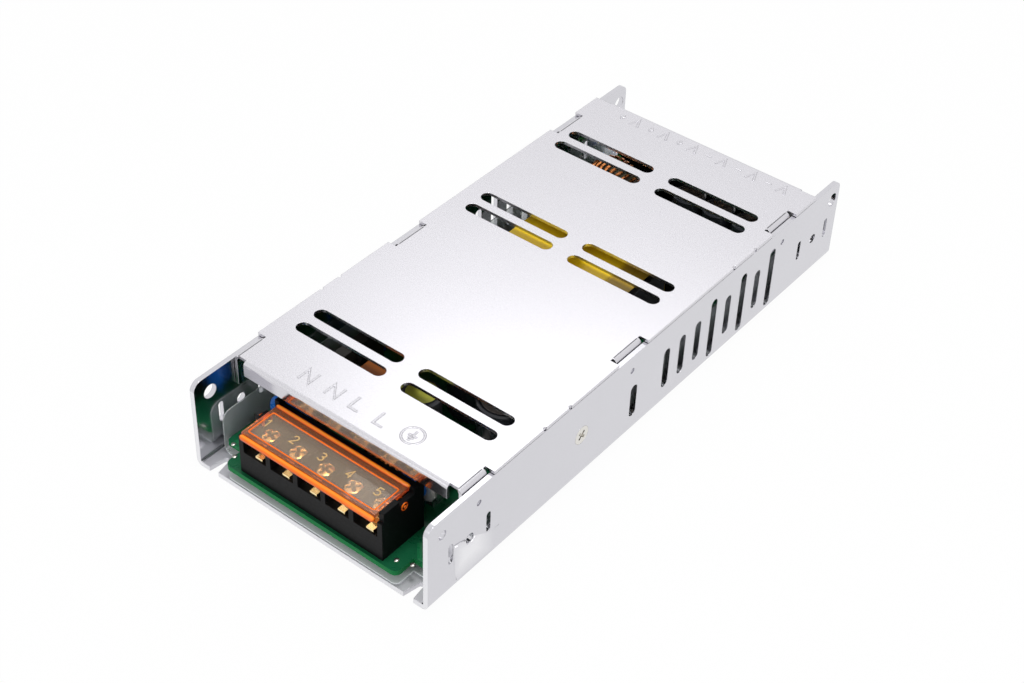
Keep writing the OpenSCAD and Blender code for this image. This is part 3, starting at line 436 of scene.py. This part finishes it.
def add_piece(name, data, finish, body="supply"):
    """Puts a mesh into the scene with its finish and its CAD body."""
    piece = bpy.data.objects.new(name, data)
    bpy.context.collection.objects.link(piece)
    data.materials.append(finish.material)
    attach(piece, body)
    return piece


mesh = bmesh.new()
grid = []
for i, (along, height) in enumerate(relief_top):
    share = i / (len(relief_top) - 1)
    foot = FOOT_START + FOOT_SPAN * share
    column = [mesh.verts.new((WALL_X, station(along), (height + RELIEF_LIP) * MM))]
    for k in range(RELIEF_ROWS + 1):
        down = k / RELIEF_ROWS
        column.append(mesh.verts.new((
            WALL_X + RELIEF_RISE * (1 - down) ** FADE_DOWN * (1 - share) ** FADE_ALONG,
            station(along + (foot - along) * down ** 2),
            (height + (RELIEF_LOW_Z - height) * down) * MM,
        )))
    grid.append(column)
side = [mesh.verts.new((WALL_X, vert.co.y - RELIEF_LIP * MM, vert.co.z)) for vert in grid[0]]
for near, far in zip([side] + grid, grid):
    for k in range(RELIEF_ROWS + 1):
        mesh.faces.new((near[k], near[k + 1], far[k + 1], far[k]))
pressed = Finish("pressed_sheet", SHEET_COLOR, 0.2, metallic=1, scale=GRAIN_SCALE, stretch=5,
                 amount=0.05, relief=0.12)
# A soft patch of the relief is painted lighter: a painted highlight.
pressed.paint(pressed.box((30, -89, 1), (50, -70, 18), 7), PRESSED_PAINTED_HIGHLIGHT)
add_piece("wall_relief", finish_mesh(mesh, "wall_relief", smooth=True), pressed)

# Insulating film
# A milky plastic sheet that lies on the floor of the case and is folded up at both sides, to keep
# the board off the metal. The finish is milkier on the floor than on the sides.
FILM_FLOOR_Z = 2 * MM
film = Finish("insulating_film", (0.93, 0.96, 0.96), 0.1, scale=900, amount=0.03, clouds=0.08)
film.set(Transmission_Weight=0.72, IOR=1.3)
milky = Finish("milky_film", (0.80, 0.84, 0.84), 0.35, scale=900, amount=0.03, clouds=0.08)
film.dress("insulating_film")
milky.dress_faces("insulating_film", lambda center, normal: center.z < FILM_FLOOR_Z)

# Standoffs and screws
# Plated steel standoffs stand on the floor, and pan head screws hold the board down on them. The
# countersunk screw in the right wall holds the primary heat bar.
plated = Finish("plated_steel", (0.62, 0.62, 0.61), 0.3, metallic=1, scale=1800, amount=0.08,
                round_edges=0.00015)
plated.dress("board_standoffs", "board_screws", "transistor_screws", "fuse_clips")
bright = Finish("nickel_screw", (0.72, 0.70, 0.66), 0.22, metallic=1, scale=1500, amount=0.1,
                round_edges=0.0002)
bright.dress("side_screw")

# Circuit board
# Glass fibre board under green solder mask. The mask is glossy and thicker over the tracks,
# so the tracks show as slightly raised, lighter bands. The sawn edges are dull.
BOARD_GREEN = (0.004, 0.10, 0.038)
EDGE_GREEN = (0.004, 0.17, 0.045)
TRACK_GREEN = (0.008, 0.15, 0.052)
BOARD_TOP = 6.4 * MM
TRACK_WIDTH = 1.3 * MM
TRACK_RISE = 0.07 * MM
TRACKS = [
    [(28.0, 12.0), (31.5, 8.0), (34.6, 8.0), (34.6, 30.0)],
    [(25.5, 16.0), (29.0, 20.0), (32.6, 20.0), (32.6, 34.0)],
    [(-27.0, 7.0), (-33.8, 7.0), (-33.8, 28.0)],
    [(-26.5, 13.0), (-31.0, 15.5), (-31.0, 24.0)],
    [(33.8, 178.0), (33.8, 150.0)],
    [(-34.6, 172.0), (-34.6, 150.0)],
]
STROKE_SECTION = ((-0.5, 0), (-0.14, 1), (0.14, 1), (0.5, 0))
STROKE_SINK = 1e-6
MITRE_LEAST = 0.35
MITRE_MOST = 2.2


def skin(mesh, rings, closed=False):
    """Joins rings of vertices with faces. Unless they close on themselves, both ends get a lid."""
    sides = len(rings[0])
    for near, far in zip(rings, rings[1:] + rings[:1] if closed else rings[1:]):
        for k in range(sides):
            following = (k + 1) % sides
            mesh.faces.new((near[k], near[following], far[following], far[k]))
    if not closed:
        mesh.faces.new(list(reversed(rings[0])))
        mesh.faces.new(rings[-1])


def stroke(mesh, points, level, width, rise, closed=False):
    """Adds a flat ridge with sloping sides to a bmesh, along points at a level."""
    count = len(points)
    rows = []
    for i, point in enumerate(points):
        before = points[(i - 1) % count] if closed or i > 0 else None
        after = points[(i + 1) % count] if closed or i < count - 1 else None
        into = ((point - before) if before is not None else (after - point)).normalized()
        away = (after - point).normalized() if after is not None else into
        mitre = (into + away).normalized()
        side = Vector((-mitre.y, mitre.x, 0))
        lean = side.dot(Vector((-into.y, into.x, 0)))
        spread = min(1 / max(lean, MITRE_LEAST), MITRE_MOST)
        row = []
        for offset, height in STROKE_SECTION:
            place = point + side * offset * width * spread
            row.append(mesh.verts.new((place.x, place.y, level + rise * height - STROKE_SINK)))
        rows.append(row)
    skin(mesh, rows, closed)


board = Finish("solder_mask", BOARD_GREEN, 0.3, scale=700, amount=0.12, clouds=0.25, relief=0.15)
board.set(Specular_IOR_Level=0.4)
board.dress("circuit_board")
board_edge = Finish("board_edge", EDGE_GREEN, 0.6, scale=1600, amount=0.2)
board_edge.set(Specular_IOR_Level=0.15)
board_edge.dress_faces("circuit_board", lambda center, normal: abs(normal.z) < 0.5)
mesh = bmesh.new()
for track in TRACKS:
    points = [Vector((x * MM, station(along), 0)) for x, along in track]
    stroke(mesh, points, BOARD_TOP, TRACK_WIDTH, TRACK_RISE)
add_piece("board_tracks", finish_mesh(mesh, "board_tracks"),
          Finish("masked_track", TRACK_GREEN, 0.3, scale=700, amount=0.1))

# Solder dots
# Low round domes of solder on pads near the ends of the board, most of them on a track. Each is
# a stack of rings with a lid.
SOLDER_SIDES = 16
SOLDER_PROFILE = ((0.75, -0.02), (0.70, 0.1), (0.5, 0.2), (0.25, 0.26))
SOLDER_AT = [(27.4, 3.8), (31.6, 5.2), (34.6, 8.0), (32.6, 20.0), (-33.8, 7.0), (-30.2, 3.9),
             (-31.0, 24.0), (33.8, 178.0), (-34.6, 172.0)]


def level_ring(mesh, x, y, z, radius, sides):
    """A level ring of new vertices round x and y."""
    turns = (2 * math.pi * k / sides for k in range(sides))
    return [mesh.verts.new((x + radius * math.cos(a), y + radius * math.sin(a), z)) for a in turns]


mesh = bmesh.new()
for x, along in SOLDER_AT:
    skin(mesh, [level_ring(mesh, x * MM, station(along), BOARD_TOP + z * MM, r * MM, SOLDER_SIDES)
                for r, z in SOLDER_PROFILE])
add_piece("solder_dots", finish_mesh(mesh, "solder_dots", smooth=True),
          Finish("solder_dot", (0.55, 0.53, 0.48), 0.3, metallic=1, scale=1800))

# Heat bars
# Extruded aluminium bars, one screwed to the right wall and one on posts across the board, with
# lines along them from the extrusion. The transistors are screwed to them, and all the moulded
# packages share one dull black epoxy.
bars = Finish("extruded_bar", (0.58, 0.56, 0.53), 0.36, metallic=1, scale=2200, stretch=9,
              amount=0.1, round_edges=0.0003)
bars.dress("primary_heat_bar", "secondary_heat_bar")
package = Finish("moulded_epoxy", (0.016, 0.014, 0.011), 0.55, scale=2500, amount=0.25, relief=0.3,
                 round_edges=0.0002)
package.dress("power_transistors", "output_rectifiers", "bridge_rectifier", "control_chip",
              "optocouplers")

# Dipped, moulded and boxed parts
# A glass fuse, a thermistor and discs dipped in epoxy, and the film capacitor in its moulded
# orange brown box, all on soldered leads. The resistors, trimmer and LED are dressed here too.
DIP_BLUE = (0.01, 0.15, 0.60)
BOX_ORANGE = (0.24, 0.066, 0.008)
Finish("glazed_fuse", (0.84, 0.82, 0.76), 0.2, scale=900, amount=0.05).dress("fuse")
Finish("green_dip", (0.02, 0.09, 0.04), 0.3, scale=700, relief=0.4,
       depth=0.00008).dress("thermistor")
blue_dip = Finish("blue_dip", DIP_BLUE, 0.28, scale=700, relief=0.4, depth=0.00008)
blue_dip.dress("varistor", "y_capacitors", "voltage_trimmer")
box_case = Finish("orange_box", BOX_ORANGE, 0.5, scale=800, round_edges=0.0003)
box_case.set(Specular_IOR_Level=0.25)
box_case.dress("x_capacitor")
Finish("resistor_coat", (0.50, 0.40, 0.28), 0.45, scale=900).dress("power_resistors")
Finish("white_nylon", (0.82, 0.82, 0.80), 0.35, scale=900).dress("trimmer_rotor")
led = Finish("tinted_lens", (0.25, 0.75, 0.25), 0.1, scale=500, amount=0.03)
led.set(Transmission_Weight=0.7, IOR=1.5)
led.dress("power_led")

# Cores and windings
# Pressed ferrite cores and a painted ring, wound with enamelled copper wire. The filter choke's
# top is brushed with olive varnish.
OLIVE = (0.36, 0.36, 0.05)
CHOKE_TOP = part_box("filter_choke")[1][2] - 0.1 * MM
ferrite = Finish("ferrite", (0.04, 0.04, 0.045), 0.55, scale=2200, amount=0.3, relief=0.3,
                 round_edges=0.0003)
ferrite.dress("common_mode_core", "transformer_core", "filter_choke")
varnish = Finish("olive_varnish", OLIVE, 0.45, scale=600, clouds=0.2)
varnish.set(Specular_IOR_Level=0.3)
varnish.dress_faces("filter_choke", lambda center, normal: center.z > CHOKE_TOP)
enamel = Finish("enamelled_copper", (0.80, 0.30, 0.10), 0.22, metallic=1, scale=1200, amount=0.12,
                round_edges=0.0004)
enamel.dress("common_mode_winding", "output_choke_winding", "transformer_winding")
Finish("painted_ring", (0.07, 0.08, 0.05), 0.4, scale=900).dress("output_choke_core")

# Capacitor cans
# Aluminium cans in a dark shrink sleeve that leaves the top bare. The top is scored in quarters
# and gives way there when the can vents. The tops of the small and output cans are painted dark,
# a painted shade; the bulk capacitors' tops keep the lighter aluminium colour.
SCORE_RISE = 0.16 * MM
SCORE_GAP = 0.22 * MM
SCORE_STEPS = 11
SCORE_STEP_DEGREES = 9
SCORE_START_DEGREES = 35
SCORE_TURN_DEGREES = 15
TOP_SUNK = 0.25 * MM
SLEEVE_RIM = 1.4 * MM
DOUBLES_APART = 0.001 * MM


def solids(name):
    """The boxes of the separate solids of a carried-over node, in order of place."""
    mesh = bmesh.new()
    mesh.from_mesh(nodes[name].data)
    bmesh.ops.remove_doubles(mesh, verts=mesh.verts, dist=DOUBLES_APART)
    mesh.verts.index_update()
    seen = set()
    boxes = []
    for start in mesh.verts:
        if start.index in seen:
            continue
        seen.add(start.index)
        queue = [start]
        members = []
        while queue:
            vert = queue.pop()
            members.append(tuple(vert.co))
            for edge in vert.link_edges:
                other = edge.other_vert(vert)
                if other.index not in seen:
                    seen.add(other.index)
                    queue.append(other)
        axes = list(zip(*members))
        boxes.append((Vector([min(v) for v in axes]), Vector([max(v) for v in axes])))
    mesh.free()
    return sorted(boxes, key=lambda box: tuple(round(v, 6) for v in box[0]))


def outward(angle):
    """The level direction at an angle."""
    return Vector((math.cos(angle), math.sin(angle), 0))


sleeve = Finish("shrink_sleeve", (0.03, 0.032, 0.04), 0.25, scale=700, amount=0.1)
sleeve.dress("small_capacitors", "output_capacitors", "bulk_capacitors")
lit_top = Finish("can_top", (0.36, 0.32, 0.30), 0.35, metallic=0.4, scale=1600, amount=0.1)
# The small and output cans get a dark copy of the top: painted shade.
painted_shade_top = Finish("painted_shade_top", (0.10, 0.088, 0.085), 0.3, metallic=0.7, scale=1600, amount=0.1)
for name, finish in (("small_capacitors", painted_shade_top), ("output_capacitors", painted_shade_top),
                     ("bulk_capacitors", lit_top)):
    mesh = bmesh.new()
    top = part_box(name)[1][2] - TOP_SUNK
    finish.dress_faces(
        name, lambda center, normal: normal.z > 0.9 and abs(center.z - top) < 0.05 * MM)
    for index, (low, high) in enumerate(solids(name)):
        radius = (high.x - low.x) / 2 - SLEEVE_RIM
        for quarter in range(4):
            start = math.radians(SCORE_START_DEGREES + 90 * quarter + SCORE_TURN_DEGREES * index)
            corner = Vector(((low.x + high.x) / 2, (low.y + high.y) / 2, top))
            corner += SCORE_GAP * outward(start + math.pi / 4)
            outline = [corner] + [
                corner + (radius - 0.2 * MM) * outward(start + math.radians(SCORE_STEP_DEGREES * k))
                for k in range(SCORE_STEPS)]
            skin(mesh, [[mesh.verts.new(point + Vector((0, 0, rise))) for point in outline]
                        for rise in (0, SCORE_RISE)])
    add_piece("scores_" + name, finish_mesh(mesh, "scores_" + name), finish)

# Transformer tape
# Polyester tape wound round the transformers. It is clear yellow, and its right end is painted
# browner, a painted shade, as the photograph shows it.
TAPE_YELLOW = (1.0, 0.70, 0.02)
TAPE_PAINTED_SHADE = (0.46, 0.30, 0.035)
tape = Finish("polyester_tape", TAPE_YELLOW, 0.3, scale=420, stretch=6, amount=0.1, clouds=0.12)
# The right end of the tape is painted browner: painted shade.
tape.paint(tape.box((12.8, 0, 0), (30, 60, 40), 1.6), TAPE_PAINTED_SHADE)
tape.set(Specular_IOR_Level=0.3)
tape.dress("transformer_tape", "drive_transformer")

# Terminal blocks
# Black flame proof nylon mouldings with a partition between the poles, one at each end of the
# board. The transformer's bobbin has the same finish.
nylon = Finish("black_nylon", (0.0035, 0.0035, 0.004), 0.45, scale=1800, amount=0.3, clouds=0.3,
               relief=0.22, round_edges=0.00018)
nylon.set(Specular_IOR_Level=0.1)
nylon.dress("ac_terminal_body", "dc_terminal_body", "transformer_bobbin")

# Terminal brass
# Stamped and plated brass plates with a clamp on each, warm gold with soft tool marks. The front
# ends of the AC plates are painted paler, a painted highlight.
TIP_PAINTED_HIGHLIGHT = (0.98, 0.95, 0.88)
gold = Finish("plated_brass", (0.92, 0.74, 0.40), 0.15, metallic=1, scale=1400, amount=0.12,
              clouds=0.12, relief=0.2, round_edges=0.00016)
gold.dress("ac_terminal_plates", "ac_terminal_clamps", "dc_terminal_plates", "dc_terminal_clamps")
plates_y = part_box("ac_terminal_plates")[0][1] / MM
# The front ends of the AC plates are painted paler: a painted highlight.
gold.paint(gold.box((-30, plates_y - 1, 0), (30, plates_y + 0.9, 14), 0.3), TIP_PAINTED_HIGHLIGHT)

# Terminal screws
# Plated brass pan head screws with a domed head and a cross recess, one in each pole. They aren't
# all turned alike. The recess and the rim, lower than the top of the head, are painted dark: a
# painted shade.
SCREW_SIDES = 48
SCREW_STEPS = 14
FIRST_TURN_DEGREES = 20
NEXT_TURN_DEGREES = 37
HEAD_H = 1.9 * MM
HEAD_DOME = 0.5 * MM
SHANK_R = 1.45 * MM
RECESS_HALF = 0.45 * MM
RECESS_REACH = 1.9 * MM
RECESS_DEPTH = 0.9 * MM
RECESS_SLOPE = 0.2 * MM
RECESS_PAINTED_SHADE = (0.22, 0.13, 0.05)


def recess(x, y):
    """How deep the cross recess is at a place on the head, from zero to one."""
    def inside(value, limit):
        return min(1, max(0, (limit - abs(value)) / RECESS_SLOPE + 0.5))
    return max(inside(x, RECESS_HALF) * inside(y, RECESS_REACH),
               inside(y, RECESS_HALF) * inside(x, RECESS_REACH))


def screw(mesh, low, high, turn):
    """Adds one screw to a bmesh: head, recess and shank."""
    center = (low + high) / 2
    radius = (high.x - low.x) / 2
    rings = []
    for i in range(SCREW_STEPS + 1):
        r = radius * max(0.01, i / SCREW_STEPS)
        ring = []
        for k in range(SCREW_SIDES):
            a = 2 * math.pi * k / SCREW_SIDES
            depth = RECESS_DEPTH * recess(r * math.cos(a + turn), r * math.sin(a + turn))
            z = high.z - HEAD_DOME * (i / SCREW_STEPS) ** 2 - depth
            ring.append(mesh.verts.new((center.x + r * math.cos(a), center.y + r * math.sin(a), z)))
        rings.append(ring)
    for r, z in ((radius, high.z - HEAD_H), (SHANK_R, high.z - HEAD_H), (SHANK_R, low.z)):
        rings.append(level_ring(mesh, center.x, center.y, z, r, SCREW_SIDES))
    skin(mesh, rings)


screw_gold = Finish("screw_gold", (1.0, 0.80, 0.42), 0.2, metallic=1, scale=1400, amount=0.1)
for block in ("ac", "dc"):
    heads_low, heads_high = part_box(block + "_terminal_screws")
    # Below the tops of the heads the screws are painted dark: painted shade.
    painted_shade_zone = screw_gold.box((-60, heads_low[1] / MM - 1, 0),
                               (60, heads_high[1] / MM + 1, heads_high[2] / MM - 0.42), 0.25)
    screw_gold.paint(painted_shade_zone, RECESS_PAINTED_SHADE)
    mesh = bmesh.new()
    for index, (low, high) in enumerate(solids(block + "_terminal_screws")):
        screw(mesh, low, high, math.radians(FIRST_TURN_DEGREES + NEXT_TURN_DEGREES * index))
    data = finish_mesh(mesh, block + "_screw_set", smooth=True)
    screw_set = add_piece(block + "_screw_set", data, screw_gold)
    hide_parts(block + "_terminal_screws")

# Flap frame
# The real flap is one orange moulding. Its thick parts are the bars at both long edges, a low rib
# round the panel and a split ring on each hinge pin, all orange. The top of each bar is painted
# lighter, a painted highlight, and the colour darkens where the surface turns from the view, a
# painted shade.
FRAME_COLOR = (1.0, 0.21, 0.010)
FRAME_EDGE_PAINTED_SHADE = (0.55, 0.03, 0.004)
FRAME_PAINTED_HIGHLIGHT = (1.0, 0.29, 0.018)
FLAP_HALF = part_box("ac_terminal_cover")[1][0]
BLOCK_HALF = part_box("ac_terminal_body")[1][0]
FRONT_BAR = (-95.65 * MM, 20.7 * MM, 0.85 * MM)
REAR_BAR = (-82.1 * MM, 21.85 * MM, 0.7 * MM)
BAR_SIDES = 20
BAR_ENDS = ((-1, 0.55), (-0.985, 0.85), (-0.965, 1), (0.965, 1), (0.985, 0.85), (1, 0.55))
HINGE = (-86.4 * MM, 19.6 * MM)
RIB_X = 21.9 * MM
RIB_Y = (-94.1 * MM, -84.7 * MM)
RIB_Z = 22.05 * MM
RIB_R = 0.24 * MM
RIB_CORNER = 0.5 * MM
CLIP_ARC_R = 1.48 * MM
CLIP_R = 0.45 * MM
CLIP_START_DEGREES = -40
PIN_END = 0.12 * MM
PIN_LENGTH = 0.25 * MM
PIN_R = 0.45 * MM
PIN_RIM_R = 1.05 * MM
PIN_RIM_TUBE = 0.2 * MM
TURN_STEP_DEGREES = 20


def sweep(mesh, path, radius, sides=8, closed=False):
    """Adds a tube along a path to a bmesh."""
    rings = []
    count = len(path)
    for i, point in enumerate(path):
        before = path[(i - 1) % count] if closed or i > 0 else point
        after = path[(i + 1) % count] if closed or i < count - 1 else point
        along = (after - before).normalized()
        across = along.cross(Vector((0, 0, 1)))
        if across.length < 0.01:
            across = Vector((1, 0, 0))
        across.normalize()
        out = across.cross(along).normalized()
        rings.append([mesh.verts.new(point + radius * (math.cos(a) * across + math.sin(a) * out))
                      for a in (2 * math.pi * k / sides for k in range(sides))])
    skin(mesh, rings, closed)


def rounded_rod(mesh, y, z, radius):
    """A bar across the flap with rounded ends."""
    turns = [2 * math.pi * k / BAR_SIDES for k in range(BAR_SIDES)]
    skin(mesh, [[mesh.verts.new((x * FLAP_HALF, y + size * radius * math.cos(a),
                                 z + size * radius * math.sin(a))) for a in turns]
                for x, size in BAR_ENDS])


frame_plastic = Finish("orange_bar", FRAME_COLOR, 0.12, scale=500, amount=0.06, clouds=0.12,
                       relief=0.05, depth=0.00001)
frame_plastic.set(Specular_IOR_Level=0.3)
# Painted shade where the surface turns from the view; painted highlight along each bar's top.
turn_away = frame_plastic.node("ShaderNodeLayerWeight")
turn_away.inputs["Blend"].default_value = 0.5
frame_plastic.paint(turn_away.outputs["Facing"], FRAME_EDGE_PAINTED_SHADE)
for y, z, radius in (FRONT_BAR, REAR_BAR):
    highlight_low = (-30, y / MM - 0.75 * radius / MM, z / MM + 0.25 * radius / MM)
    highlight_high = (30, y / MM + 0.45 * radius / MM, z / MM + 2)
    frame_plastic.paint(frame_plastic.box(highlight_low, highlight_high, 0.35), FRAME_PAINTED_HIGHLIGHT)
mesh = bmesh.new()
rounded_rod(mesh, *FRONT_BAR)
rounded_rod(mesh, *REAR_BAR)
corners = [Vector((x, y, RIB_Z)) for x, y in (
    (-RIB_X, RIB_Y[0]), (RIB_X, RIB_Y[0]), (RIB_X, RIB_Y[1]), (-RIB_X, RIB_Y[1]))]
rib = []
for i, corner in enumerate(corners):
    before = (corners[i - 1] - corner).normalized() * RIB_CORNER
    after = (corners[(i + 1) % 4] - corner).normalized() * RIB_CORNER
    rib += [corner + before, corner + (before + after) * 0.3, corner + after]
sweep(mesh, rib, RIB_R, closed=True)
for side in (-1, 1):
    clip_x = side * (FLAP_HALF - CLIP_R)
    turns = [math.radians(CLIP_START_DEGREES + TURN_STEP_DEGREES * k) for k in range(14)]
    clip = [Vector((clip_x, HINGE[0] + CLIP_ARC_R * math.cos(a),
                    HINGE[1] + CLIP_ARC_R * math.sin(a))) for a in turns]
    sweep(mesh, clip, CLIP_R)
for side in (-1, 1):
    pin = Vector((side * (BLOCK_HALF + PIN_END), HINGE[0], HINGE[1]))
    sweep(mesh, [pin, pin + Vector((side * PIN_LENGTH, 0, 0))], PIN_R, sides=16)
    turns = [math.radians(TURN_STEP_DEGREES * k) for k in range(18)]
    rim = [pin + PIN_RIM_R * Vector((0, math.cos(a), math.sin(a))) for a in turns]
    sweep(mesh, rim, PIN_RIM_TUBE, closed=True)
flap_frame = add_piece("flap_frame", finish_mesh(mesh, "flap_frame", smooth=True), frame_plastic,
                       body="ac_flap")
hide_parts("ac_terminal_cover")

# Flap panel
# The thin middle of the same moulding is clear enough to show the screws and the brass below it.
# Its border is a step thicker than its field and takes more of the colour.
PANEL_COLOR = (0.94, 0.75, 0.56)
BORDER_COLOR = (1.0, 0.42, 0.20)
PANEL_LOW = 21.0 * MM
PANEL_TOP = 21.9 * MM
BORDER_TOP = 22.15 * MM
panel_levels = [
    (FLAP_HALF - 0.05 * MM, -95.3 * MM, -82.3 * MM, PANEL_LOW),
    (FLAP_HALF - 0.05 * MM, -95.3 * MM, -82.3 * MM, BORDER_TOP - 0.1 * MM),
    (FLAP_HALF - 0.15 * MM, -95.2 * MM, -82.4 * MM, BORDER_TOP),
    (21.7 * MM, -93.9 * MM, -84.9 * MM, BORDER_TOP),
    (21.6 * MM, -93.8 * MM, -85.0 * MM, PANEL_TOP),
]
panel_plastic = Finish("clear_panel", BORDER_COLOR, 0.03, scale=500, amount=0.03, clouds=0.05,
                       relief=0.05, depth=0.00001)
panel_plastic.set(Transmission_Weight=0.88, IOR=1.4)
panel_plastic.paint(panel_plastic.box((-21.9, -94.1, 0), (21.9, -84.7, 40), 0.2), PANEL_COLOR)
mesh = bmesh.new()
rings = []
for half, y0, y1, z in panel_levels:
    around = ((-half, y0), (half, y0), (half, y1), (-half, y1))
    rings.append([mesh.verts.new((x, y, z)) for x, y in around])
skin(mesh, rings)
flap_panel = add_piece("flap_panel", finish_mesh(mesh, "flap_panel"), panel_plastic,
                       body="ac_flap")
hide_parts("ac_terminal_cover")

# Pole numbers
# The flap's mould has the numbers of the poles in it, so they stand on the clear panel as low
# ridges. They are given a lighter, less clear finish than the panel: a painted highlight.
DIGITS = {
    "1": [[(-0.24, 0.24), (0.06, 0.47)], [(0.12, 0.5), (0.12, -0.5)]],
    "2": [[(-0.4, 0.25), (-0.25, 0.44), (0.05, 0.5), (0.35, 0.36), (0.35, 0.1), (-0.4, -0.5),
           (0.45, -0.5)]],
    "3": [[(-0.4, 0.4), (0, 0.5), (0.35, 0.34), (0.3, 0.1), (-0.05, 0.02)],
          [(-0.05, 0.02), (0.36, -0.08), (0.4, -0.34), (0.05, -0.5), (-0.4, -0.38)]],
    "4": [[(0.2, -0.5), (0.2, 0.5), (-0.45, -0.2), (0.45, -0.2)]],
    "5": [[(0.38, 0.5), (-0.32, 0.5), (-0.36, 0.06), (0.05, 0.14), (0.4, -0.06), (0.38, -0.34),
           (0.05, -0.5), (-0.4, -0.4)]],
}
DIGIT_AT = {"1": -20.4, "2": -10.7, "3": -1.0, "4": 8.6, "5": 18.3}
DIGIT_Y = -88.4 * MM
DIGIT_W = 1.9
DIGIT_H = 2.8
# A lighter, less clear copy of the panel plastic: painted highlight on the digits.
raised = Finish("raised_digit", (0.92, 0.62, 0.26), 0.2, scale=900, amount=0.05)
raised.set(Transmission_Weight=0.4, IOR=1.45)
mesh = bmesh.new()
for digit, x in DIGIT_AT.items():
    for line in DIGITS[digit]:
        points = [Vector(((x + u * DIGIT_W) * MM, DIGIT_Y + v * DIGIT_H * MM, 0)) for u, v in line]
        stroke(mesh, points, PANEL_TOP, 0.42 * MM, 0.14 * MM)
add_piece("pole_numbers", finish_mesh(mesh, "pole_numbers"), raised, body="ac_flap")

# Cover
# The real piece is a thinner sheet of brighter aluminium with a satin grain, bent down at both
# ends and at six side tabs. The tabs snap over dimples in the walls.
COVER_COLOR = (0.645, 0.635, 0.67)
cover_low, cover_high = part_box("top_cover")
COVER_TOP = cover_high[2]
LIP_DEPTH = 2 * MM
LIP_ROUGHNESS = 0.13
cover = Finish("cover_sheet", COVER_COLOR, 0.27, metallic=1, scale=3200, stretch=1.6, amount=0.03,
               clouds=0.02, relief=0.05, round_edges=0.00018)
cover.polish(cover.box((-60, -90, 0), (60, (cover_low[1] + LIP_DEPTH) / MM, 29.2), 0.3),
             LIP_ROUGHNESS)
cover.dress("top_cover")

# Terminal marks
# The cover's sheet is stamped from below, so each stroke of a mark stands up by a hair.
# The AC marks read N N L L from the AC end, the DC marks plus V and minus V from the DC end.
STAMP_WIDTH = 0.85 * MM
STAMP_RISE = 0.17 * MM
LETTERS = {
    "N": [[(-0.5, -0.5), (-0.5, 0.5), (0.5, -0.5), (0.5, 0.5)]],
    "L": [[(-0.4, 0.5), (-0.4, -0.5), (0.45, -0.5)]],
    "V": [[(-0.5, 0.5), (0, -0.5), (0.5, 0.5)]],
    "+": [[(-0.3, 0), (0.3, 0)], [(0, -0.3), (0, 0.3)]],
    "-": [[(-0.35, 0), (0.35, 0)]],
}
AC_MARKS = [("N", -18.3, -74.6), ("N", -9.2, -74.5), ("L", -1.2, -74.2), ("L", 7.5, -74.5)]
DC_POLES = 6
DC_MARK_Y = 78.3
DC_MARK_STEP = 10.82
DC_FIRST_V = -22.9
DC_SIGN_BEFORE = 5.2


def stamp(name, marks, facing, width, height):
    """One mesh for a row of marks. facing is 1 where they read from the AC end, else -1."""
    mesh = bmesh.new()
    for letter, x, y in marks:
        for line in LETTERS[letter]:
            points = [Vector((x * MM + facing * u * width, y * MM + facing * v * height, 0))
                      for u, v in line]
            stroke(mesh, points, COVER_TOP, STAMP_WIDTH, STAMP_RISE)
    add_piece(name, finish_mesh(mesh, name), cover)


stamp("ac_marks", AC_MARKS, 1, 3.6 * MM, 4.6 * MM)
dc_marks = []
for k in range(DC_POLES):
    v_x = DC_FIRST_V + k * DC_MARK_STEP
    dc_marks.append(("V", v_x, DC_MARK_Y))
    dc_marks.append(("+" if k < DC_POLES / 2 else "-", v_x - DC_SIGN_BEFORE, DC_MARK_Y))
stamp("dc_marks", dc_marks, -1, 3 * MM, 3.8 * MM)

# Earth mark
# It is stamped beside the AC marks like them, but lower: a ring with a stem and three bars that
# grow shorter towards the AC end.
EARTH_AT = Vector((17.1 * MM, -73.9 * MM, 0))
EARTH_R = 3.1 * MM
EARTH_RISE = 0.03 * MM
EARTH_WIDTH = 0.8 * MM
EARTH_SIDES = 32
EARTH_LINES = [[(0, 1.9), (0, -0.1)], [(-1.5, -0.1), (1.5, -0.1)], [(-1.0, -0.95), (1.0, -0.95)],
               [(-0.5, -1.8), (0.5, -1.8)]]
mesh = bmesh.new()
rim = [EARTH_AT + EARTH_R * outward(2 * math.pi * k / EARTH_SIDES) for k in range(EARTH_SIDES)]
stroke(mesh, rim, COVER_TOP, EARTH_WIDTH, EARTH_RISE, closed=True)
for line in EARTH_LINES:
    points = [EARTH_AT + Vector((x * MM, y * MM, 0)) for x, y in line]
    stroke(mesh, points, COVER_TOP, EARTH_WIDTH, EARTH_RISE)
add_piece("earth_mark", finish_mesh(mesh, "earth_mark"), cover)

# Fold lines of the tabs
# Along the fold of each side tab lies a dull narrow dark line, a painted shade where the tab
# bends down, just inside the edge of the flat sheet.
TAB_STATIONS = ((14.8, 24.5), (79.0, 90.4), (154.6, 165.5))
FOLD_WIDTH = 0.34 * MM
FOLD_RISE = 0.03 * MM
FOLD_SHORT = 0.4 * MM
FLAT_WITHIN = 0.02 * MM
TAB_REACH = 0.1 * MM
# A dark line along each fold: painted shade.
fold_painted_shade = Finish("fold_painted_shade", (0.16, 0.16, 0.17), 0.4, metallic=1, scale=2400, amount=0.15)
mesh = bmesh.new()
for first, last in TAB_STATIONS:
    y0, y1 = station(first), station(last)
    flat = [vert.co.x for vert in nodes["top_cover"].data.vertices
            if vert.co.z > COVER_TOP - FLAT_WITHIN and y0 - TAB_REACH < vert.co.y < y1 + TAB_REACH]
    for x in (min(flat) + FOLD_WIDTH / 2, max(flat) - FOLD_WIDTH / 2):
        ends = [Vector((x, y0 + FOLD_SHORT, 0)), Vector((x, y1 - FOLD_SHORT, 0))]
        stroke(mesh, ends, COVER_TOP, FOLD_WIDTH, FOLD_RISE)
add_piece("tab_fold_lines", finish_mesh(mesh, "tab_fold_lines"), fold_painted_shade)
